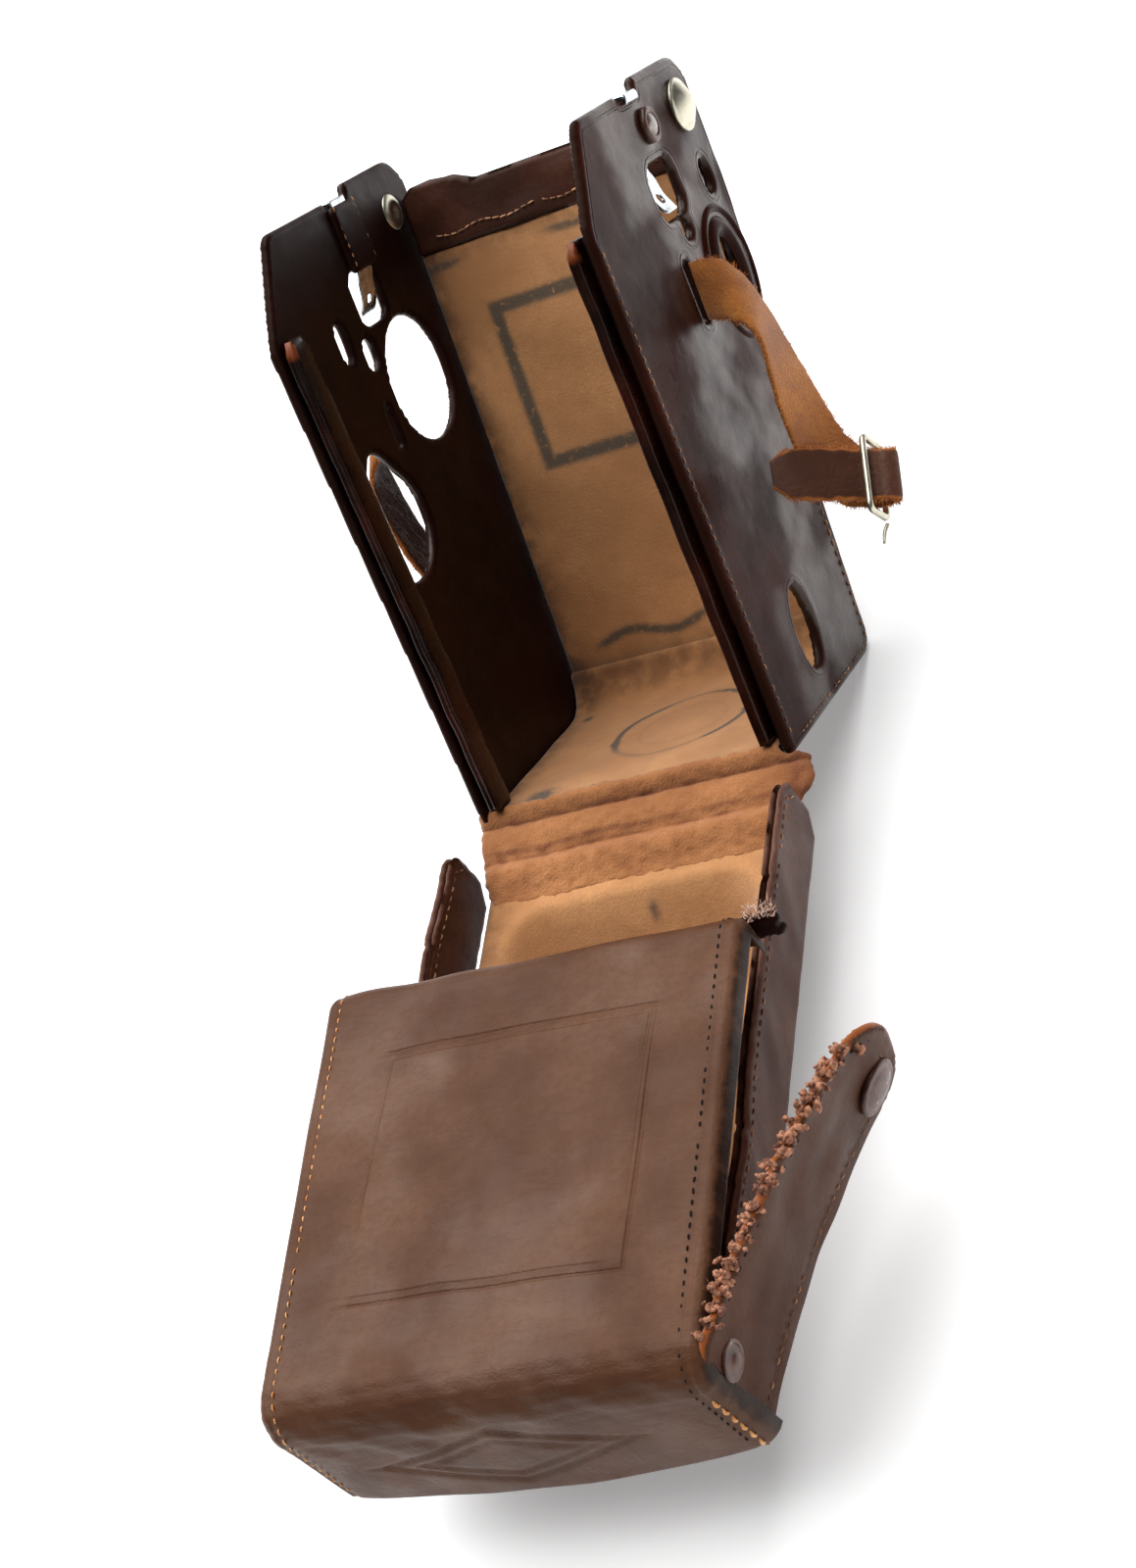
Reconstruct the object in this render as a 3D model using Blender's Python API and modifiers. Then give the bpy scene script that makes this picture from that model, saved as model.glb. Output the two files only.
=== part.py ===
"""Leather ever-ready case of a twin lens reflex camera, lying open on a table.

Frame: +X to the case's right, +Y towards the tilted cradle, +Z up, in metres.  The origin is the centre
of the flat face of the lens bulge, which rests on the table.  The cradle leans back on its lower rear
corner, the front cover lies flat on its bulge, and the hood is folded back over the cover.
"""

import math

import bmesh
import bpy
from mathutils import Matrix, Vector

COLLECTION = "camera_case"
GAP = 0.0003

# Cradle: widths run along X, depths back from the front crease, heights up from the bottom.
CRADLE_WIDTH = 0.0803
WALL_THICK = 0.0026
WALL_HEIGHT = 0.1460
NOTCH_FLOOR = 0.1428
WALL_DEPTH = 0.0653
WALL_KINK = 0.1215
WALL_LEAN = {-1: 0.0075, 1: 0.0030}
WALL_FORWARD = {-1: 0.0015, 1: 0.0}
CORNER_RADIUS = 0.0060
CRADLE_TILT = math.radians(29.4)
CREASE_Y = 0.0771
BACK_HEIGHT = 0.1350
BACK_LEAN = 0.072
STRIP_THICK = 0.0022
LINING_THICK = 0.0008
LINING_TOP = 0.1215
RAIL_HEIGHT = 0.1180

# Front cover: a flat panel with a hollow for the lenses, and a low flange along each side.
PANEL_TOP_Z = 0.0243
PANEL_HALF_WIDTH = 0.0392
PANEL_REAR_Y = 0.0640
PANEL_FRONT_Y = -0.0810
BULGE_RIM_HALF_WIDTH = 0.0350
BULGE_RIM_REAR_Y = 0.0560
BULGE_RIM_FRONT_Y = -0.0560
BULGE_FACE_HALF_WIDTH = 0.0270
BULGE_FACE_HALF_LENGTH = 0.0400
FLANGE_MIDDLE_X = -0.0012
FLANGE_OUTER_X = 0.0438
FLANGE_THICK = 0.0015
FLANGE_HEIGHT = 0.0140
FLANGE_REAR_Y = 0.0655
FLANGE_FRONT_Y = -0.0780
COVER_CLOSES = math.radians(119.4)
CLOSED_STANDOFF = 0.0174

# Hood: the name face stands at the far end of the cover and the top runs back over it.
HOOD_LEFT_X = -0.0500
HOOD_RIGHT_X = 0.0452
HOOD_THICK = 0.0022
HOOD_FOLD_Y = -0.0822
HOOD_HEIGHT = 0.0331
HOOD_SLANT = 0.0012
HOOD_REAR_Y = 0.0165
HOOD_FRONT_RADIUS = 0.0085
HOOD_REAR_RADIUS = 0.0045
HOOD_LIP = 0.0065
BAND_THICK = 0.0022
BAND_SWING = math.radians(-15.0)
BAND_TILT = math.radians(11.0)
BAND_LENGTH = 0.0820
BAND_HEIGHT = 0.0325
CAP_ALONG = 0.0725
CAP_UP = 0.0105

# Metal furniture.
STUD_RADIUS = 0.0062
RIVET_RADIUS = 0.0039
CAP_RADIUS = 0.0060
SPRING_THICK = 0.0006
SPRING_WIDTH = 0.0063
SPRING_DEPTH = 0.0414
BUCKLE_ROD = 0.0008

# Straps.
STRAP_THICK = 0.0015

COLOURS = {
    "leather": ((0.105, 0.050, 0.036), 0.45, 0.0),
    "suede": ((0.470, 0.240, 0.095), 0.95, 0.0),
    "strap": ((0.420, 0.150, 0.030), 0.90, 0.0),
    "steel": ((0.560, 0.580, 0.600), 0.30, 1.0),
    "nickel": ((0.520, 0.500, 0.440), 0.35, 1.0),
    "lacquer": ((0.140, 0.080, 0.065), 0.35, 0.0),
}


def clear_scene():
    """Remove the objects of the start-up scene."""
    for obj in list(bpy.data.objects):
        bpy.data.objects.remove(obj, do_unlink=True)


def new_collection():
    """The collection that holds the parts."""
    parts = bpy.data.collections.new(COLLECTION)
    bpy.context.scene.collection.children.link(parts)
    return parts


def material(name, kind):
    """A Principled material of one of the kinds in COLOURS."""
    colour, roughness, metallic = COLOURS[kind]
    made = bpy.data.materials.new(name)
    made.use_nodes = True
    shader = made.node_tree.nodes["Principled BSDF"]
    shader.inputs["Base Color"].default_value = (*colour, 1.0)
    shader.inputs["Roughness"].default_value = roughness
    shader.inputs["Metallic"].default_value = metallic
    return made


def pivot(parts, name, location, rotation=(0, 0, 0), parent=None):
    """An empty that carries the pieces of one body."""
    empty = bpy.data.objects.new(name, None)
    empty.empty_display_size = 0.01
    empty.location = location
    empty.rotation_euler = rotation
    empty.parent = parent
    parts.objects.link(empty)
    return empty


def add_mesh(parts, name, kind, mesh, parent):
    """Link a mesh as a named part with its own material."""
    mesh.materials.clear()
    mesh.materials.append(material(name, kind))
    obj = bpy.data.objects.new(name, mesh)
    obj.parent = parent
    parts.objects.link(obj)
    return obj


def arc(centre, radius, start, stop, steps, squash=1.0):
    """Points of an arc in degrees; squash scales its second axis."""
    points = []
    for i in range(steps + 1):
        angle = math.radians(start + (stop - start) * i / steps)
        x = centre[0] + radius * math.cos(angle)
        y = centre[1] + radius * squash * math.sin(angle)
        points.append((x, y))
    return points


def oval(centre, half_x, half_y, steps=20):
    """A closed oval outline."""
    return arc(centre, half_x, 0, 360 - 360 / steps, steps - 1, half_y / half_x)


def flat_mesh(name, outline, holes, thickness):
    """A flat outline with holes, filled and extruded to a closed mesh about its own plane."""
    curve = bpy.data.curves.new(name, "CURVE")
    curve.dimensions = "2D"
    curve.fill_mode = "BOTH"
    curve.extrude = thickness / 2
    for loop in [outline, *holes]:
        spline = curve.splines.new("POLY")
        spline.points.add(len(loop) - 1)
        for point, (x, y) in zip(spline.points, loop):
            point.co = (x, y, 0, 1)
        spline.use_cyclic_u = True
    guide = bpy.data.objects.new(name + "_curve", curve)
    bpy.context.scene.collection.objects.link(guide)
    graph = bpy.context.evaluated_depsgraph_get()
    mesh = bpy.data.meshes.new_from_object(guide.evaluated_get(graph))
    bpy.data.objects.remove(guide)
    shape = bmesh.new()
    shape.from_mesh(mesh)
    bmesh.ops.remove_doubles(shape, verts=shape.verts, dist=1e-6)
    bmesh.ops.recalc_face_normals(shape, faces=shape.faces)
    shape.to_mesh(mesh)
    shape.free()
    return mesh


def side_plate(parts, name, kind, outline, holes, thickness, x, parent):
    """A plate whose outline lies in the Y-Z plane, centred on x."""
    mesh = flat_mesh(name, outline, holes, thickness)
    obj = add_mesh(parts, name, kind, mesh, parent)
    obj.rotation_euler = (math.pi / 2, 0, math.pi / 2)
    obj.location = (x, 0, 0)
    return obj


def offset_path(path, distance):
    """The path moved to its left by a distance, with mitred corners."""
    moved = []
    for i, point in enumerate(path):
        before = Vector(path[max(i - 1, 0)])
        after = Vector(path[min(i + 1, len(path) - 1)])
        here = Vector(point)
        one = (here - before).normalized() if i else (after - here).normalized()
        two = (after - here).normalized() if i < len(path) - 1 else one
        normal = Vector((-one.y - two.y, one.x + two.x)).normalized()
        lengthen = max(0.5, normal.dot(Vector((-one.y, one.x))))
        moved.append(tuple(here + normal * distance / lengthen))
    return moved


def sheet(parts, name, kind, path, thickness, x_from, x_to, parent):
    """A sheet that follows a path in the Y-Z plane; its thickness lies to the left of the path."""
    outline = list(path) + offset_path(path, thickness)[::-1]
    middle = (x_from + x_to) / 2
    return side_plate(parts, name, kind, outline, [], x_to - x_from, middle, parent)


def block(parts, name, kind, low, high, parent, bevel=0.0):
    """A box between two corners, with its edges rounded by a Bevel modifier."""
    shape = bmesh.new()
    bmesh.ops.create_cube(shape, size=1.0)
    size = Vector(high) - Vector(low)
    centre = (Vector(high) + Vector(low)) / 2
    placed = Matrix.Translation(centre) @ Matrix.Diagonal((*size, 1))
    bmesh.ops.transform(shape, matrix=placed, verts=shape.verts)
    mesh = bpy.data.meshes.new(name)
    shape.to_mesh(mesh)
    shape.free()
    obj = add_mesh(parts, name, kind, mesh, parent)
    if bevel:
        rounding = obj.modifiers.new("round_edges", "BEVEL")
        rounding.width = bevel
        rounding.segments = 2
    return obj


def turned(parts, name, kind, profile, location, rotation, parent, steps=24):
    """A turned piece: a profile in the X-Z plane, top to bottom, swept about its Z axis."""
    mesh = bpy.data.meshes.new(name)
    points = [(x, 0, z) for x, z in profile]
    mesh.from_pydata(points, [(i, i + 1) for i in range(len(points) - 1)], [])
    obj = add_mesh(parts, name, kind, mesh, parent)
    obj.location = location
    obj.rotation_euler = rotation
    screw = obj.modifiers.new("turn", "SCREW")
    screw.steps = steps
    screw.render_steps = steps
    screw.use_merge_vertices = True
    screw.merge_threshold = 0.00001
    screw.use_smooth_shade = True
    return obj


def domed_profile(radius, rim, height):
    """Half the outline of a domed disc, from its crown to the middle of its back."""
    dome = [(radius * math.sin(a), rim + height * math.cos(a)) for a in (0, 0.4, 0.8, 1.2)]
    return dome + [(radius, rim), (radius, 0), (0, 0)]


def loft(parts, name, kind, stations, parent):
    """A strap lofted through stations: each is (centre, width vector, thickness vector)."""
    shape = bmesh.new()
    rings = []
    for centre, across, through in stations:
        corners = [(-1, -1), (1, -1), (1, 1), (-1, 1)]
        ring = [shape.verts.new(centre + across * a / 2 + through * b / 2) for a, b in corners]
        rings.append(ring)
    for one, two in zip(rings, rings[1:]):
        for i in range(4):
            j = (i + 1) % 4
            shape.faces.new((one[i], one[j], two[j], two[i]))
    shape.faces.new(rings[0])
    shape.faces.new(rings[-1])
    bmesh.ops.recalc_face_normals(shape, faces=shape.faces)
    mesh = bpy.data.meshes.new(name)
    shape.to_mesh(mesh)
    shape.free()
    return add_mesh(parts, name, kind, mesh, parent)


def smooth_path(points, per_span):
    """Catmull-Rom interpolation of a list of vectors."""
    ends = [points[0] * 2 - points[1], *points, points[-1] * 2 - points[-2]]
    result = []
    for a, b, c, d in zip(ends, ends[1:], ends[2:], ends[3:]):
        for i in range(per_span):
            t = i / per_span
            line = b * 2 + (c - a) * t + (a * 2 - b * 5 + c * 4 - d) * t**2
            result.append((line + (b * 3 - a - c * 3 + d) * t**3) / 2)
    return result + [points[-1]]


def strap_stations(route, per_span=4):
    """Stations of a strap from rows of (point, width direction, width)."""
    centres = smooth_path([Vector(row[0]) for row in route], per_span)
    across = smooth_path([Vector(row[1]).normalized() * row[2] for row in route], per_span)
    stations = []
    for i, centre in enumerate(centres):
        ahead = centres[min(i + 1, len(centres) - 1)] - centres[max(i - 1, 0)]
        through = ahead.cross(across[i]).normalized() * STRAP_THICK
        stations.append((centre, across[i], through))
    return stations


# ---------------------------------------------------------------- cradle


def back_depth(height):
    """Depth of the back's outer face at a height."""
    return WALL_DEPTH + BACK_LEAN * height


def wall_outline(side):
    """Outline of a side wall: (depth, height) round from the front of the bottom."""
    r = CORNER_RADIUS
    lean = WALL_LEAN[side]
    forward = WALL_FORWARD[side]
    outline = [(0.0012 - forward, 0.0)]
    outline += arc((WALL_DEPTH - r, r), r, -90, 0, 5)
    outline += [(0.0670, 0.0600), (0.0708, 0.0740), (0.0752, 0.0860), (0.0782, 0.1050)]
    outline += [(0.0790, 0.1200), (0.0785, 0.1340)]
    outline += arc((0.0705, WALL_HEIGHT - 0.0075), 0.0075, 0, 90, 4)
    outline += [(0.0478, WALL_HEIGHT), (0.0458, NOTCH_FLOOR)]
    outline += [(0.0370, NOTCH_FLOOR), (0.0350, WALL_HEIGHT)]
    outline += arc((0.0165 - lean, WALL_HEIGHT - 0.0045), 0.0045, 90, 158, 3)
    outline += [(-lean + 0.0006, WALL_KINK + 0.0015), (-lean - forward / 2, WALL_KINK - 0.0015)]
    outline += [(-forward, 0.0012)]
    return outline


def spring_slot(depth, half):
    """The rounded slot in which a lug spring's tongue shows."""
    return [(depth + x, z) for x, z in rounded_box(half, 0.1272, 0.1140, 0.0045)]


def right_wall_holes():
    """The right wall's spring slot, screw holes, knob slit, strap slit and rewind hole."""
    slot = spring_slot(0.0452, 0.0078)
    lobe = oval((0.0482, 0.1108), 0.0028, 0.0024, 10)
    screw = oval((0.0692, 0.1180), 0.0026, 0.0040, 12)
    knob = oval((0.0655, 0.0970), 0.0036, 0.0080, 16)
    strap = [(0.0385, 0.0905), (0.0408, 0.0905), (0.0408, 0.1050), (0.0385, 0.1050)]
    rewind = oval((0.0305, 0.0190), 0.0058, 0.0100, 18)
    return [slot, lobe, screw, knob, strap, rewind]


def keyed_hole(centre, radius, lobe, steps=30):
    """A round hole with a soft lobe on top: the radius swells by a bell curve about the vertical."""
    outline = []
    for i in range(steps):
        angle = 2 * math.pi * i / steps
        away = (angle - math.radians(94)) / math.radians(24)
        reach = radius + lobe * math.exp(-away * away)
        outline.append((centre[0] + reach * math.cos(angle), centre[1] + reach * math.sin(angle)))
    return outline


def left_wall_holes():
    """The left wall's spring slot, screw hole, strap slit and two knob holes."""
    slot = spring_slot(0.0392, 0.0070)
    lobe = oval((0.0305, 0.1085), 0.0030, 0.0040, 10)
    screw = oval((0.0205, 0.1140), 0.0026, 0.0050, 12)
    upper = oval((0.0490, 0.0975), 0.0150, 0.0152, 28)
    strap = [(0.0272, 0.0860), (0.0292, 0.0860), (0.0292, 0.0965), (0.0272, 0.0965)]
    return [slot, lobe, screw, upper, strap, keyed_hole((0.0145, 0.0710), 0.0132, 0.0052)]


def rail_outline():
    """Section of a guide rail: (inward from the wall, depth), with a channel open to the front."""
    return [
        (0.0003, 0.0085),
        (0.0003, 0.0040),
        (0.0016, 0.0040),
        (0.0016, -0.0012),
        (0.0042, -0.0012),
        (0.0042, 0.0050),
        (0.0026, 0.0085),
    ]


def build_rail(parts, name, side, cradle):
    """The stiff rail inside a wall's front edge, leaning with it."""
    inner = CRADLE_WIDTH / 2 - WALL_THICK
    outline = [(side * (inner - inward), depth) for inward, depth in rail_outline()]
    mesh = flat_mesh(name, outline, [], RAIL_HEIGHT)
    rail = add_mesh(parts, name, "leather", mesh, cradle)
    forward = WALL_FORWARD[side]
    rail.rotation_euler = (math.atan2(WALL_LEAN[side] - forward, WALL_KINK), 0, 0)
    rail.location = (0, -(WALL_LEAN[side] + forward) / 2, 0.0040 + RAIL_HEIGHT / 2)
    return rail


def build_back_and_bottom(parts, cradle):
    """The bent strip of the back and bottom, between the walls, and its suede linings."""
    half = CRADLE_WIDTH / 2 - WALL_THICK - GAP
    r = CORNER_RADIUS
    corner = arc((WALL_DEPTH - r, r), r, 0, -90, 6)
    strip = [(back_depth(BACK_HEIGHT), BACK_HEIGHT), (back_depth(r * 2), r * 2), *corner, (0.0012, 0.0)]
    sheet(parts, "back_and_bottom", "leather", strip, -STRIP_THICK, -half, half, cradle)
    skin = STRIP_THICK + GAP
    rise = 0.0105
    inner = offset_path([(back_depth(LINING_TOP), LINING_TOP), (back_depth(rise), rise)], -skin)
    sheet(parts, "back_lining", "suede", inner, -LINING_THICK, -half, half, cradle)
    floor = [(inner[1][0] - LINING_THICK - GAP * 3, rise * 0.62), (0.0520, skin), (0.0030, skin)]
    sheet(parts, "floor_lining", "suede", floor, -LINING_THICK, -half, half, cradle)
    face_low = LINING_TOP + 0.0008
    facing = offset_path([(back_depth(BACK_HEIGHT), BACK_HEIGHT), (back_depth(face_low), face_low)], -skin)
    sheet(parts, "back_top_facing", "leather", facing, -0.0014, -half, half, cradle)


def build_walls(parts, cradle):
    """The two side walls and the rails inside their front edges."""
    middle = CRADLE_WIDTH / 2 - WALL_THICK / 2
    holes = {-1: left_wall_holes(), 1: right_wall_holes()}
    for side, word in ((-1, "left"), (1, "right")):
        side_plate(
            parts,
            word + "_wall",
            "leather",
            wall_outline(side),
            holes[side],
            WALL_THICK,
            side * middle,
            cradle,
        )
        build_rail(parts, word + "_guide_rail", side, cradle)


def build_knob_rings(parts, cradle):
    """Two raised leather rings round the knob slit of the right wall."""
    centre = (0.0640, 0.0960)
    face = CRADLE_WIDTH / 2
    outer = oval(centre, 0.0138, 0.0166, 32)
    inner = oval(centre, 0.0112, 0.0138, 32)
    x = face + GAP + 0.0005
    side_plate(parts, "knob_ring_outer", "leather", outer, [inner], 0.0010, x, cradle)
    middle = oval(centre, 0.0107, 0.0133, 28)
    slit = oval((0.0655, 0.0970), 0.0040, 0.0084, 18)
    side_plate(parts, "knob_ring_inner", "leather", middle, [slit], 0.0016, x + GAP, cradle)


def spring_path(side):
    """Near side of the lug spring: over the notch, down the inner face and out through the slot."""
    inner = CRADLE_WIDTH / 2 - WALL_THICK - GAP
    outer = CRADLE_WIDTH / 2 + GAP
    top = NOTCH_FLOOR + GAP
    path = [(outer, top - 0.0012), (outer, top), (inner, top), (inner, 0.1262)]
    path += [(inner + 0.0012, 0.1235), (inner + 0.0015, 0.1200), (inner + 0.0038, 0.1168)]
    return [(side * x, z) for x, z in path]


def build_lug_spring(parts, name, side, body):
    """A steel strip folded over the wall's notch, with a tongue that shows in the slot."""
    path = spring_path(side)
    outline = list(path) + offset_path(path, -side * SPRING_THICK)[::-1]
    mesh = flat_mesh(name, outline, [], SPRING_WIDTH)
    spring = add_mesh(parts, name, "steel", mesh, body)
    spring.rotation_euler = (math.pi / 2, 0, 0)
    spring.location = (0, SPRING_DEPTH, 0)
    return spring


def build_wall_metal(parts, cradle):
    """Lug springs, their rivets and the snap studs of both walls."""
    face = CRADLE_WIDTH / 2 + GAP
    places = {
        "left": (-1, (0.0430, 0.1350), (0.0660, 0.1345)),
        "right": (1, (0.0462, 0.1350), (0.0682, 0.1350)),
    }
    for word, (side, rivet, stud) in places.items():
        build_lug_spring(parts, word + "_lug_spring", side, cradle)
        turn = (0, side * math.pi / 2, 0)
        low = domed_profile(RIVET_RADIUS, 0.0005, 0.0007)
        turned(parts, word + "_lug_rivet", "lacquer", low, (side * face, *rivet), turn, cradle, 20)
        high = domed_profile(STUD_RADIUS, 0.0008, 0.0026)
        turned(parts, word + "_snap_stud", "nickel", high, (side * face, *stud), turn, cradle, 24)


# ---------------------------------------------------------------- straps


def right_strap_route():
    """The right strap from its slit, out and down, round its fold and back to its tip."""
    face = CRADLE_WIDTH / 2
    rows = [
        (0.0006, 0.0397, 0.0977, (0.00, 0.00, 1.00), 0.0135),
        (0.0060, 0.0400, 0.0965, (0.00, 0.42, 0.90), 0.0140),
        (0.0098, 0.0402, 0.0925, (-0.10, 0.72, 0.66), 0.0145),
        (0.0122, 0.0396, 0.0860, (-0.10, 0.93, 0.32), 0.0150),
        (0.0132, 0.0388, 0.0780, (0.05, 0.97, 0.15), 0.0150),
        (0.0140, 0.0382, 0.0690, (0.22, 0.93, 0.25), 0.0152),
        (0.0156, 0.0376, 0.0585, (0.30, 0.72, 0.58), 0.0160),
        (0.0190, 0.0380, 0.0500, (0.24, 0.56, 0.80), 0.0152),
        (0.0245, 0.0394, 0.0455, (0.08, 0.58, 0.81), 0.0128),
        (0.0288, 0.0386, 0.0452, (0.02, 0.58, 0.81), 0.0120),
        (0.0307, 0.0372, 0.0460, (0.00, 0.58, 0.81), 0.0118),
        (0.0288, 0.0356, 0.0472, (0.00, 0.58, 0.81), 0.0117),
        (0.0248, 0.0358, 0.0480, (0.00, 0.59, 0.81), 0.0120),
        (0.0190, 0.0322, 0.0508, (0.00, 0.55, 0.83), 0.0122),
        (0.0115, 0.0278, 0.0545, (0.02, 0.50, 0.86), 0.0116),
        (0.0070, 0.0264, 0.0560, (0.02, 0.48, 0.87), 0.0066),
    ]
    return [((face + out, depth, height), across, width) for out, depth, height, across, width in rows]


def left_strap_route():
    """The left strap end from its slit, hanging against the outside of the wall."""
    face = -CRADLE_WIDTH / 2
    rows = [
        (0.0006, 0.0282, 0.0912, (0, 0.00, 1.00), 0.0098),
        (0.0045, 0.0288, 0.0900, (0, 0.30, 0.95), 0.0105),
        (0.0074, 0.0296, 0.0850, (0, 0.75, 0.65), 0.0115),
        (0.0082, 0.0304, 0.0770, (0, 0.95, 0.30), 0.0120),
        (0.0076, 0.0312, 0.0680, (0, 0.98, 0.20), 0.0120),
        (0.0062, 0.0322, 0.0590, (0, 0.98, 0.18), 0.0115),
        (0.0054, 0.0330, 0.0525, (0, 0.98, 0.16), 0.0062),
    ]
    return [((face - out, depth, height), across, width) for out, depth, height, across, width in rows]


def build_straps(parts, cradle):
    """Both straps, each in a body that swings at its slit, and the buckle on the right one."""
    face = CRADLE_WIDTH / 2
    right = pivot(parts, "right_strap_swing", (face, 0.0397, 0.0977), parent=cradle)
    left = pivot(parts, "left_strap_swing", (-face, 0.0282, 0.0912), parent=cradle)
    for name, route, body in (
        ("right_strap", right_strap_route(), right),
        ("left_strap_end", left_strap_route(), left),
    ):
        rows = [(Vector(p) - body.location, across, width) for p, across, width in route]
        loft(parts, name, "strap", strap_stations(rows), body)
    build_buckle(parts, right)


def build_buckle(parts, strap):
    """The nickel buckle: a rectangular wire frame round both strap layers, and its prong."""
    centre = Vector((CRADLE_WIDTH / 2 + 0.0252, 0.0379, 0.0465)) - strap.location
    long_way = Vector((0, 0.58, 0.81)).normalized()
    short_way = Vector((0, 0.81, -0.58)).normalized()
    frame = pivot(parts, "buckle_swing", centre, parent=strap)
    loop = [(-1, -0.85), (-0.9, -1), (0.9, -1), (1, -0.85), (1, 0.85), (0.9, 1), (-0.9, 1), (-1, 0.85)]
    curve = bpy.data.curves.new("buckle_frame", "CURVE")
    curve.dimensions = "3D"
    curve.bevel_depth = BUCKLE_ROD
    curve.bevel_resolution = 2
    spline = curve.splines.new("POLY")
    spline.points.add(len(loop) - 1)
    for point, (a, b) in zip(spline.points, loop):
        point.co = (*(long_way * a * 0.0086 + short_way * b * 0.0046), 1)
    spline.use_cyclic_u = True
    curve.materials.append(material("buckle_frame", "nickel"))
    obj = bpy.data.objects.new("buckle_frame", curve)
    obj.parent = frame
    parts.objects.link(obj)
    prong = pivot(parts, "prong_swing", short_way * 0.0046 + long_way * -0.0075, parent=frame)
    wire = bpy.data.curves.new("buckle_prong", "CURVE")
    wire.dimensions = "3D"
    wire.bevel_depth = 0.0005
    wire.bevel_resolution = 2
    wire.use_fill_caps = True
    track = wire.splines.new("POLY")
    route = [(0.0, -0.0024), (-0.0010, -0.0042), (-0.0014, -0.0066)]
    track.points.add(len(route) - 1)
    for point, (out, down) in zip(track.points, route):
        point.co = (out, *(long_way * down).yz, 1)
    wire.materials.append(material("buckle_prong", "nickel"))
    pin = bpy.data.objects.new("buckle_prong", wire)
    pin.parent = prong
    parts.objects.link(pin)


# ---------------------------------------------------------------- cover


def cover_hinge_axis():
    """(y, z) of the axis about which the cover closes square onto the cradle's front.

    The cover's rear edge turns from its open place to a place in front of the cradle's front crease;
    the axis is the centre of that turn.
    """
    start = Vector((PANEL_REAR_Y, PANEL_TOP_Z))
    ahead = Vector((-CLOSED_STANDOFF * math.cos(CRADLE_TILT), CLOSED_STANDOFF * math.sin(CRADLE_TILT)))
    stop = Vector((CREASE_Y, crease_height())) + ahead
    chord = stop - start
    across = Vector((chord.y, -chord.x)).normalized()
    return (start + stop) / 2 + across * chord.length / 2 / math.tan(COVER_CLOSES / 2)


def crease_height():
    """Height of the front crease over the table when the rounded rear corner rests on it."""
    r = CORNER_RADIUS
    return r + (WALL_DEPTH - r) * math.sin(CRADLE_TILT) - r * math.cos(CRADLE_TILT)


def rounded_box(half_width, rear, front, radius, steps=4):
    """Points round a rectangle with rounded corners, from its rear right corner."""
    r = radius
    loop = arc((half_width - r, rear - r), r, 0, 90, steps)
    loop += arc((-half_width + r, rear - r), r, 90, 180, steps)
    loop += arc((-half_width + r, front + r), r, 180, 270, steps)
    return loop + arc((half_width - r, front + r), r, 270, 360, steps)


def bulged_sheet(parts, name, kind, top, inset, thickness, body):
    """A flat sheet with a tapered box pressed down into it; top is the height of its upper face."""
    floor = top - PANEL_TOP_Z + STRIP_THICK + LINING_THICK + GAP
    edge = rounded_box(PANEL_HALF_WIDTH, PANEL_REAR_Y, PANEL_FRONT_Y, 0.0030)
    rim = rounded_box(
        BULGE_RIM_HALF_WIDTH - inset, BULGE_RIM_REAR_Y - inset, BULGE_RIM_FRONT_Y + inset, 0.0120
    )
    half = BULGE_FACE_HALF_LENGTH - inset
    face = rounded_box(BULGE_FACE_HALF_WIDTH - inset, half, -half, 0.0090)
    levels = [(edge, top), (rim, top), (face, floor)]
    shape = bmesh.new()
    loops = [[shape.verts.new((x, y, z)) for x, y in loop] for loop, z in levels]
    for one, two in zip(loops, loops[1:]):
        for i, vert in enumerate(one):
            j = (i + 1) % len(one)
            shape.faces.new((vert, one[j], two[j], two[i]))
    shape.faces.new(loops[-1])
    mesh = bpy.data.meshes.new(name)
    shape.to_mesh(mesh)
    shape.free()
    obj = add_mesh(parts, name, kind, mesh, body)
    shell = obj.modifiers.new("wall", "SOLIDIFY")
    shell.thickness = thickness
    shell.offset = -1
    return obj


def build_cover_panel(parts, body):
    """The cover's leather panel with the lens bulge, and the suede lining that follows it."""
    panel_top = PANEL_TOP_Z - LINING_THICK - GAP
    bulged_sheet(parts, "cover_panel", "leather", panel_top, 0.0, STRIP_THICK, body)
    bulged_sheet(parts, "cover_lining", "suede", PANEL_TOP_Z, 0.0014, LINING_THICK, body)


def flange_outline():
    """Outline of a cover flange: (y, z), rounded at its rear top corner."""
    low = PANEL_TOP_Z - 0.0036
    high = PANEL_TOP_Z + FLANGE_HEIGHT
    r = 0.0050
    outline = [(FLANGE_FRONT_Y, low), (FLANGE_REAR_Y - 0.0050, low), (FLANGE_REAR_Y, low + 0.0060)]
    outline += arc((FLANGE_REAR_Y - r, high - r), r, 0, 90, 4)
    return outline + [(FLANGE_FRONT_Y, high)]


def build_flanges(parts, body):
    """Each flange is two stitched layers of leather."""
    for side, word in ((-1, "left"), (1, "right")):
        outer = FLANGE_MIDDLE_X + side * (FLANGE_OUTER_X - FLANGE_THICK / 2)
        inner = outer - side * (FLANGE_THICK + GAP)
        side_plate(parts, word + "_flange", "leather", flange_outline(), [], FLANGE_THICK, outer, body)
        side_plate(
            parts, word + "_flange_facing", "leather", flange_outline(), [], FLANGE_THICK - GAP, inner, body
        )


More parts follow.
